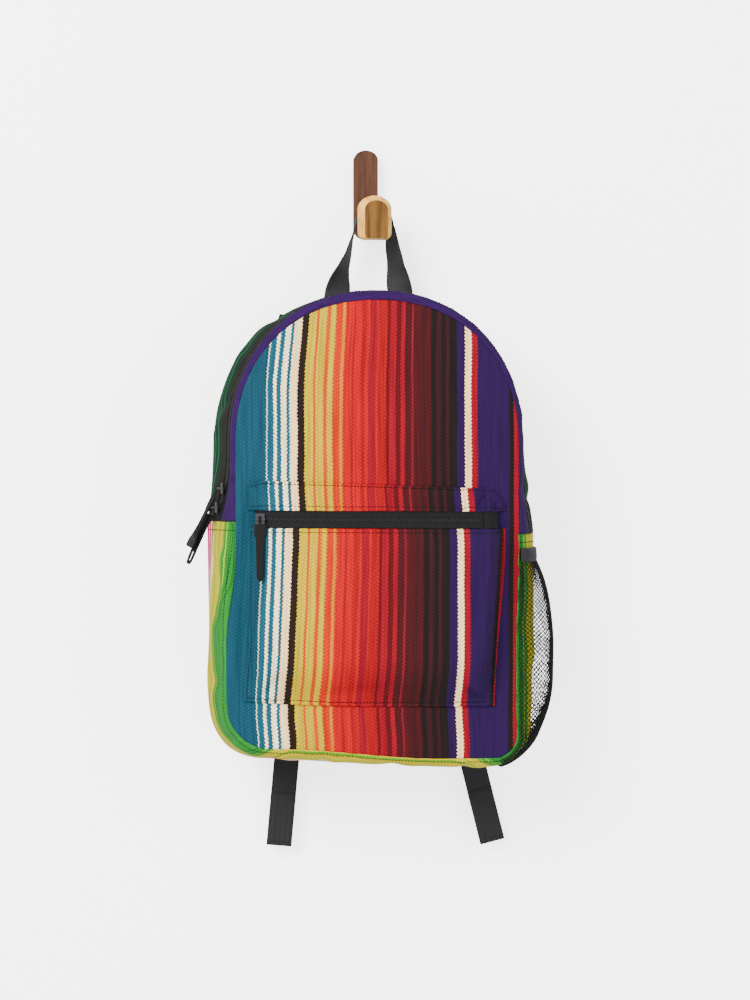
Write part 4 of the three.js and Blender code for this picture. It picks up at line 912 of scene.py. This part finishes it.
handle = sweep("grab_handle_webbing", handlePlaces, 240, beltSection(),
               bend=creases([(48, 0.5, 5, 0.5), (70, -0.6, 7, -0.6), (186, 0.5, 6, 0.4), (212, -0.5, 7, -0.5)]))[0]
dress(handle, handleWebbing, instead=("grab_handle",))

strapSection = beltSection(28, 0.62)
lockPlaces = [
    {"name": "left", "sign": -1, "x": -70, "z": -452, "lean": -0.095, "tailX": -88, "tailZ": -645.5, "anchorX": -104},
    {"name": "right", "sign": 1, "x": 77, "z": -448, "lean": 0.22, "tailX": 125.5, "tailZ": -645, "anchorX": 106}]
tailHems = []
for lock in lockPlaces:
    s, name = lock["sign"], lock["name"]
    strap = sweep("shoulder_strap_" + name + "_pad", [
        (s * 62, -19.6, -122, 1, 0, 0, 52, 5), (s * 63, -17.2, -140, 1, 0, 0, 58, 9.5), (s * 70, -15.2, -200, 1, 0, 0, 62, 11),
        (s * 80, -14.4, -270, 1, 0, 0, 60, 11), (s * 82, -14.4, -340, 1, 0, 0, 52, 11), (s * 77, -14.4, -398, 1, 0, 0, 42, 9.5),
        (lock["x"] - lock["lean"] * 30, -14.9, lock["z"] + 32, 1, 0, 0, 34, 5.2),
        (lock["x"] - lock["lean"] * 18, -14.9, lock["z"] + 18, 1, 0, 0, 30, 4.8)], 120, strapSection,
        bend=creases([(60, -0.4, 9, 0.3), (150, 0.4, 14, -0.5), (236, -0.4, 10, 0.4)]))[0]
    dress(strap, strapCloth, instead=("shoulder_strap_" + name,))
    turn = math.atan(lock["lean"])
    cosTurn, sinTurn = math.cos(turn), math.sin(turn)
    middle = -14.9
    loopPlaces = []
    for dy, dz in ((4.1, 28), (4.1, 20), (3.9, 12), (3.4, 9), (0, 7.4), (-3.4, 9), (-3.9, 12), (-4.1, 20), (-4.1, 28)):
        loopPlaces.append((lock["x"] - sinTurn * dz, middle + dy, lock["z"] + cosTurn * dz, cosTurn, 0, sinTurn, 24, 1.4))
    strapLoop = sweep("strap_loop_" + name + "_webbing", loopPlaces, 90, beltSection())[0]
    dress(strapLoop, tailWebbing, instead=("strap_loop_" + name,))
    way = (cosTurn, 0, sinTurn)

    def down(f):
        return mix(lock["x"], lock["tailX"], f), mix(lock["z"], lock["tailZ"], f)
    hem = 1 - 52 / (lock["z"] - lock["tailZ"])
    ends = [(down(0.06), middle + 4.6), (down(0.3), middle + 5), (down(hem - 0.008), -11), (down(hem + 0.008), -11), (down(1), -14)]
    webPlaces = [
        (lock["anchorX"], flatBack, -533, cosTurn, 0, sinTurn * 2.2),
        (lock["anchorX"] - s * 3, flatBack, -518, cosTurn, 0, sinTurn * 2),
        (mix(lock["anchorX"], lock["x"], 0.62), middle - 5.4, lock["z"] - 32, *way),
        (lock["x"], middle - 4.2, lock["z"] - 8, *way), (lock["x"], middle - 3.6, lock["z"] + 0.4, *way),
        (lock["x"], middle, lock["z"] + 2.6, *way), (lock["x"], middle + 3.6, lock["z"] + 0.4, *way)]
    webPlaces += [(x, y, z, *way, 25, 3.4 if k > 2 else 1.6) for k, ((x, z), y) in enumerate(ends)]
    tail, tailAt, tailOut, tailOver, tailRun = sweep(
        "adjust_webbing_" + name + "_band", webPlaces, 300, beltSection(),
        bend=creases([(150, 0.3, 12, 0.8), (190, -0.3, 9, -0.8), (245, 0.25, 10, 0.6)]))
    dress(tail, tailWebbing, instead=("adjust_webbing_" + name,))
    tailHems.append((name, tailAt, tailOut, tailOver, tailRun))
print("webbing made")


# ---------------------------------------------------------------- stitching and zip teeth
def stitchRow(at, outward, pitch, long, thick, seed, sink=0.15):
    """Stitches laid along a line of points, each a short thread that dips at both ends."""
    at, outward = np.asarray(at), np.asarray(outward)
    run = np.concatenate([[0], np.cumsum(np.linalg.norm(np.diff(at, axis=0), axis=-1))])
    rng = random.Random(seed)
    vertices, faces = [], []
    place = pitch * 0.4
    while place + long < run[-1]:
        start = place + rng.uniform(-0.12, 0.12) * pitch
        spots5 = start + long * np.array([0, 0.18, 0.5, 0.82, 1])
        line = np.stack([np.interp(spots5, run, at[:, k]) for k in range(3)], -1)
        up = np.stack([np.interp(spots5, run, outward[:, k]) for k in range(3)], -1)
        up /= np.linalg.norm(up, axis=-1, keepdims=True)
        ahead = line[-1] - line[0]
        ahead /= np.linalg.norm(ahead)
        over = np.cross(up, ahead)
        high = np.array([-sink, 0.12, 0.2, 0.12, -sink])
        fat = thick / 2 * np.array([0.35, 0.9, 1, 0.9, 0.35])
        first = len(vertices)
        for k in range(5):
            mid = line[k] + up[k] * high[k]
            for j in range(5):
                a = 2 * np.pi * j / 5
                vertices.append(mid + (over[k] * np.cos(a) + up[k] * np.sin(a)) * fat[k])
        for k in range(4):
            for j in range(5):
                a0, a1 = first + 5 * k + j, first + 5 * k + (j + 1) % 5
                faces.append((a0, a1, a1 + 5, a0 + 5))
        faces.append(tuple(first + j for j in (4, 3, 2, 1, 0)))
        faces.append(tuple(first + 20 + j for j in range(5)))
        place += pitch
    return vertices, faces


def stitching(name, rows, material):
    vertices, faces = [], []
    for v, f in rows:
        base = len(vertices)
        vertices += v
        faces += [tuple(n + base for n in face) for face in f]
    piece = makeMesh(name, vertices, faces)
    return dress(piece, material)


def alongGrid(points, normals, row, axis, first=0.0, last=1.0):
    """A line through a grid at a share of its other axis, from one share of its length to another."""
    count = points.shape[1 - axis]
    f = row * (count - 1)
    i = min(int(f), count - 2)
    s = f - i
    at = np.take(points, i, 1 - axis) * (1 - s) + np.take(points, i + 1, 1 - axis) * s
    up = np.take(normals, i, 1 - axis) * (1 - s) + np.take(normals, i + 1, 1 - axis) * s
    a, b = int(first * (len(at) - 1)), int(last * (len(at) - 1)) + 1
    return at[a:b], up[a:b]


stitch = {"pitch": 3.1, "long": 2.5, "thick": 0.8}


def topRow(points, normals, row, axis, seed, first=0.0, last=1.0):
    return stitchRow(*alongGrid(points, normals, row, axis, first, last), stitch["pitch"], stitch["long"], stitch["thick"], seed)


stitching("front_strip_stitching", [topRow(stripPoints, stripNormals, 0.88, 0, 101)], darkThread)
stitching("rear_gusset_stitching", [topRow(rearPoints, rearNormals, 0.035, 0, 102)], darkThread)
stitching("lower_gusset_stitching", [
    topRow(lowerPoints, lowerNormals, 0.025, 0, 103),
    topRow(lowerPoints, lowerNormals, 0.975, 0, 104),
    topRow(lowerPoints, lowerNormals, 0.012, 1, 105, 0.02, 0.98),
    topRow(lowerPoints, lowerNormals, 0.988, 1, 106, 0.02, 0.98)], darkThread)
stitching("pocket_top_stitching", [
    topRow(pocketTopPoints, pocketTopNormals, 0.09, 0, 107, 0.01, 0.99),
    topRow(pocketTopPoints, pocketTopNormals, 0.86, 0, 108, 0.01, 0.99),
    topRow(pocketTopPoints, pocketTopNormals, 0.988, 1, 109)], darkThread)
stitching("pocket_front_stitching", [
    topRow(pocketFrontPoints, pocketFrontNormals, 0.024, 0, 110, 0.01, 0.99),
    topRow(pocketFrontPoints, pocketFrontNormals, 0.975, 0, 111, 0.01, 0.99),
    topRow(pocketFrontPoints, pocketFrontNormals, 0.012, 1, 112, 0.01, 0.99),
    topRow(pocketFrontPoints, pocketFrontNormals, 0.988, 1, 113, 0.01, 0.99)], darkThread)


def zipTeeth(name, points, normals, row, pitch, wide, tall, first=0.0, last=1.0):
    """Coil teeth from both tapes, side by side along the zip's middle."""
    at, up = alongGrid(points, normals, row, 0, first, last)
    run = np.concatenate([[0], np.cumsum(np.linalg.norm(np.diff(at, axis=0), axis=-1))])
    count = int(run[-1] / pitch)
    vertices, faces = [], []
    for i in range(count):
        place = (i + 0.5) * pitch
        mid = np.array([np.interp(place, run, at[:, k]) for k in range(3)])
        ahead = np.array([np.interp(place + 0.4, run, at[:, k]) for k in range(3)]) - mid
        ahead /= max(np.linalg.norm(ahead), 1e-6)
        n = np.array([np.interp(place, run, up[:, k]) for k in range(3)])
        n /= np.linalg.norm(n)
        over = np.cross(n, ahead)
        shift = (0.18 if i % 2 else -0.18) * wide
        base = len(vertices)
        for step, fat in ((-0.5, 0.3), (-0.3, 1), (0.3, 1), (0.5, 0.3)):
            for j in range(6):
                a = 2 * np.pi * j / 6
                vertices.append(mid + over * (shift + step * wide) + (ahead * np.cos(a) * 0.36 * pitch + n * (np.sin(a) * 0.5 + 0.35) * tall) * fat)
        for k in range(3):
            for j in range(6):
                a0, a1 = base + 6 * k + j, base + 6 * k + (j + 1) % 6
                faces.append((a0, a1, a1 + 6, a0 + 6))
        faces.append(tuple(base + j for j in range(5, -1, -1)))
        faces.append(tuple(base + 18 + j for j in range(6)))
    return dress(makeMesh(name, vertices, faces), coilNylon)


zipTeeth("main_zip_coil", zipPoints, zipNormals, 0.5, 1.5, 3.6, 0.9, 0.004, 0.996)
zipTeeth("pocket_zip_coil", pocketZipPoints, pocketZipNormals, 0.5, 1.45, 3.6, 0.9, 0.01, 0.99)

for name, at, out, over, run in tailHems:
    rows = []
    for share, back in ((0, 4), (1, 50.5)):
        place = run[-1] - back
        mid = np.array([np.interp(place, run, at[:, k]) for k in range(3)])
        side = np.array([np.interp(place, run, over[:, k]) for k in range(3)])
        face = np.array([np.interp(place, run, out[:, k]) for k in range(3)])
        face = face if face[1] < 0 else -face
        line = np.array([mid + side * t * 10.8 + face * 1.62 for t in (-1, -0.5, 0, 0.5, 1)])
        rows.append(stitchRow(line, [face] * 5, 2.9, 2.2, 0.55, 120 + share))
    stitching("adjust_webbing_" + name + "_stitching", rows, darkThread)
print("stitching and zips made")


# ---------------------------------------------------------------- hook
def tabOutline(centre, half, top, bottom, y, corner):
    high, line = half * 0.8, []
    for i in range(25):
        a = math.pi * i / 24
        line.append((centre + half * math.cos(a), y, top - high + high * math.sin(a)))
    for i in range(25):
        a = math.pi * (1 + i / 24)
        side = math.copysign(half - corner, math.cos(a))
        line.append((centre + side + corner * math.cos(a), y, bottom + corner + corner * math.sin(a)))
    return line


def lofted(name, outlines, faceMaterialFrom=None):
    vertices = [p for line in outlines for p in line]
    n = len(outlines[0])
    faces = []
    for r in range(len(outlines) - 1):
        for k in range(n):
            a, b = r * n + k, r * n + (k + 1) % n
            faces.append((a, b, b + n, a + n))
    faces.append(tuple(range(n - 1, -1, -1)))
    faces.append(tuple(range((len(outlines) - 1) * n, len(outlines) * n)))
    return makeMesh(name, vertices, faces, smooth=False)


def smoothEdges(piece, wide, angle=30):
    bevel = piece.modifiers.new("soft edges", "BEVEL")
    bevel.width = wide * mm
    bevel.segments = 3
    bevel.limit_method = "ANGLE"
    bevel.angle_limit = math.radians(angle)
    bevel.harden_normals = False


nodes["hook_plate"].data.materials.clear()
nodes["hook_plate"].data.materials.append(walnut)
nodes["hook_arm"].data.materials.clear()
nodes["hook_arm"].data.materials.append(paleWood)
for name, material in (("pocket_slider", sliderMetal), ("main_slider_upper", sliderMetal), ("main_slider_lower", sliderMetal),
                       ("pocket_pull", rubber), ("main_pull_upper", rubber), ("main_pull_lower", rubber),
                       ("ladder_lock_left", lockPlastic), ("ladder_lock_right", lockPlastic)):
    nodes[name].data.materials.clear()
    nodes[name].data.materials.append(material)

halfTab, tabBack, tabFront = hook["tabWide"] / 2, hook["tabBack"], hook["tabBack"] - hook["tabThick"]
edge = hook["tabEdge"]
tab = lofted("hook_tab_wood", [
    tabOutline(hook["tabX"], halfTab, hook["tabTop"], hook["tabBottom"], tabBack, 7),
    tabOutline(hook["tabX"], halfTab, hook["tabTop"], hook["tabBottom"], tabBack - hook["tabThick"] * 0.45, 7),
    tabOutline(hook["tabX"] + 1.2, halfTab - edge, hook["tabTop"] - edge, hook["tabBottom"] + 0.8, tabFront, 4)])
dress(tab, paleWood, instead=("hook_tab",))
tab.data.materials.append(tabWood)
for polygon in tab.data.polygons:
    if polygon.normal.y < -0.99:
        polygon.material_index = 1
print("hook made")

# ---------------------------------------------------------------- stage, light and camera
def plainMaterial(name, hexColour, rough=0.9):
    material, tree, shader = startMaterial(name, Roughness=rough)
    shader.inputs["Base Color"].default_value = colour(hexColour)
    return material, tree, shader


def panelOnStage(name, corners, material):
    mesh = bpy.data.meshes.new(name)
    mesh.from_pydata(corners, [], [(0, 1, 2, 3)])
    piece = bpy.data.objects.new(name, mesh)
    bpy.context.collection.objects.link(piece)
    mesh.materials.append(material)
    return piece


floorPaint = plainMaterial("pale floor paint", "efefef")[0]
floor = panelOnStage("floor", [(-5, -5, -1.0), (5, -5, -1.0), (5, 5, -1.0), (-5, 5, -1.0)], floorPaint)
# plain painted wall behind the hook. Seen from behind it is clear, so the back of the pack still shows
wallPaint, wallTree, wallShader = plainMaterial("pale wall paint", "f2f2f2")
wallShader.inputs["Emission Color"].default_value = colour("ffffff")
wallShader.inputs["Emission Strength"].default_value = 2.4
clear = addNode(wallTree, "BsdfTransparent")
facing = addNode(wallTree, "NewGeometry")
pick = addNode(wallTree, "MixShader", links={"#0": facing.outputs["Backfacing"], "#1": wallShader.outputs["BSDF"],
                                             "#2": clear.outputs["BSDF"]})
wallTree.links.new(pick.outputs["Shader"], wallTree.nodes["Material Output"].inputs["Surface"])
wall = panelOnStage("wall", [(-2.2, 0.004, -1.0), (2.2, 0.004, -1.0), (2.2, 0.004, 1.6), (-2.2, 0.004, 1.6)], wallPaint)
wall.visible_shadow = False
wall.visible_diffuse = False
wall.visible_glossy = False

world = bpy.data.worlds.new("soft studio")
world.use_nodes = True
world.node_tree.nodes["Background"].inputs["Color"].default_value = colour("f6f8fb")
world.node_tree.nodes["Background"].inputs["Strength"].default_value = 1.45
bpy.context.scene.world = world


def softLight(name, place, aim, size, power, tint="ffffff"):
    data = bpy.data.lights.new(name, "AREA")
    data.shape = "RECTANGLE"
    data.size, data.size_y = size
    data.energy = power
    data.color = colour(tint)[:3]
    lamp = bpy.data.objects.new(name, data)
    lamp.location = place
    lamp.rotation_euler = (Vector(aim) - Vector(place)).to_track_quat("-Z", "Y").to_euler()
    bpy.context.collection.objects.link(lamp)
    return lamp


softLight("key light", (-1.5, -2.2, 0.9), (0, -0.05, -0.3), (1.3, 1.3), 205, "fffaf3")
softLight("fill light", (1.9, -1.9, 0.0), (0, -0.05, -0.35), (1.6, 1.6), 40, "f4f8ff")

cameraData = bpy.data.cameras.new("camera")
cameraData.lens = 75.6
cameraData.sensor_width = 36
cameraData.sensor_fit = "VERTICAL"
cameraData.sensor_height = 36
camera = bpy.data.objects.new("camera", cameraData)
camera.location = (-0.2105, -2.0885, -0.304)
aim = Vector((0.009, 0, -0.304))
camera.rotation_euler = (aim - camera.location).to_track_quat("-Z", "Y").to_euler()
bpy.context.collection.objects.link(camera)
bpy.context.scene.camera = camera
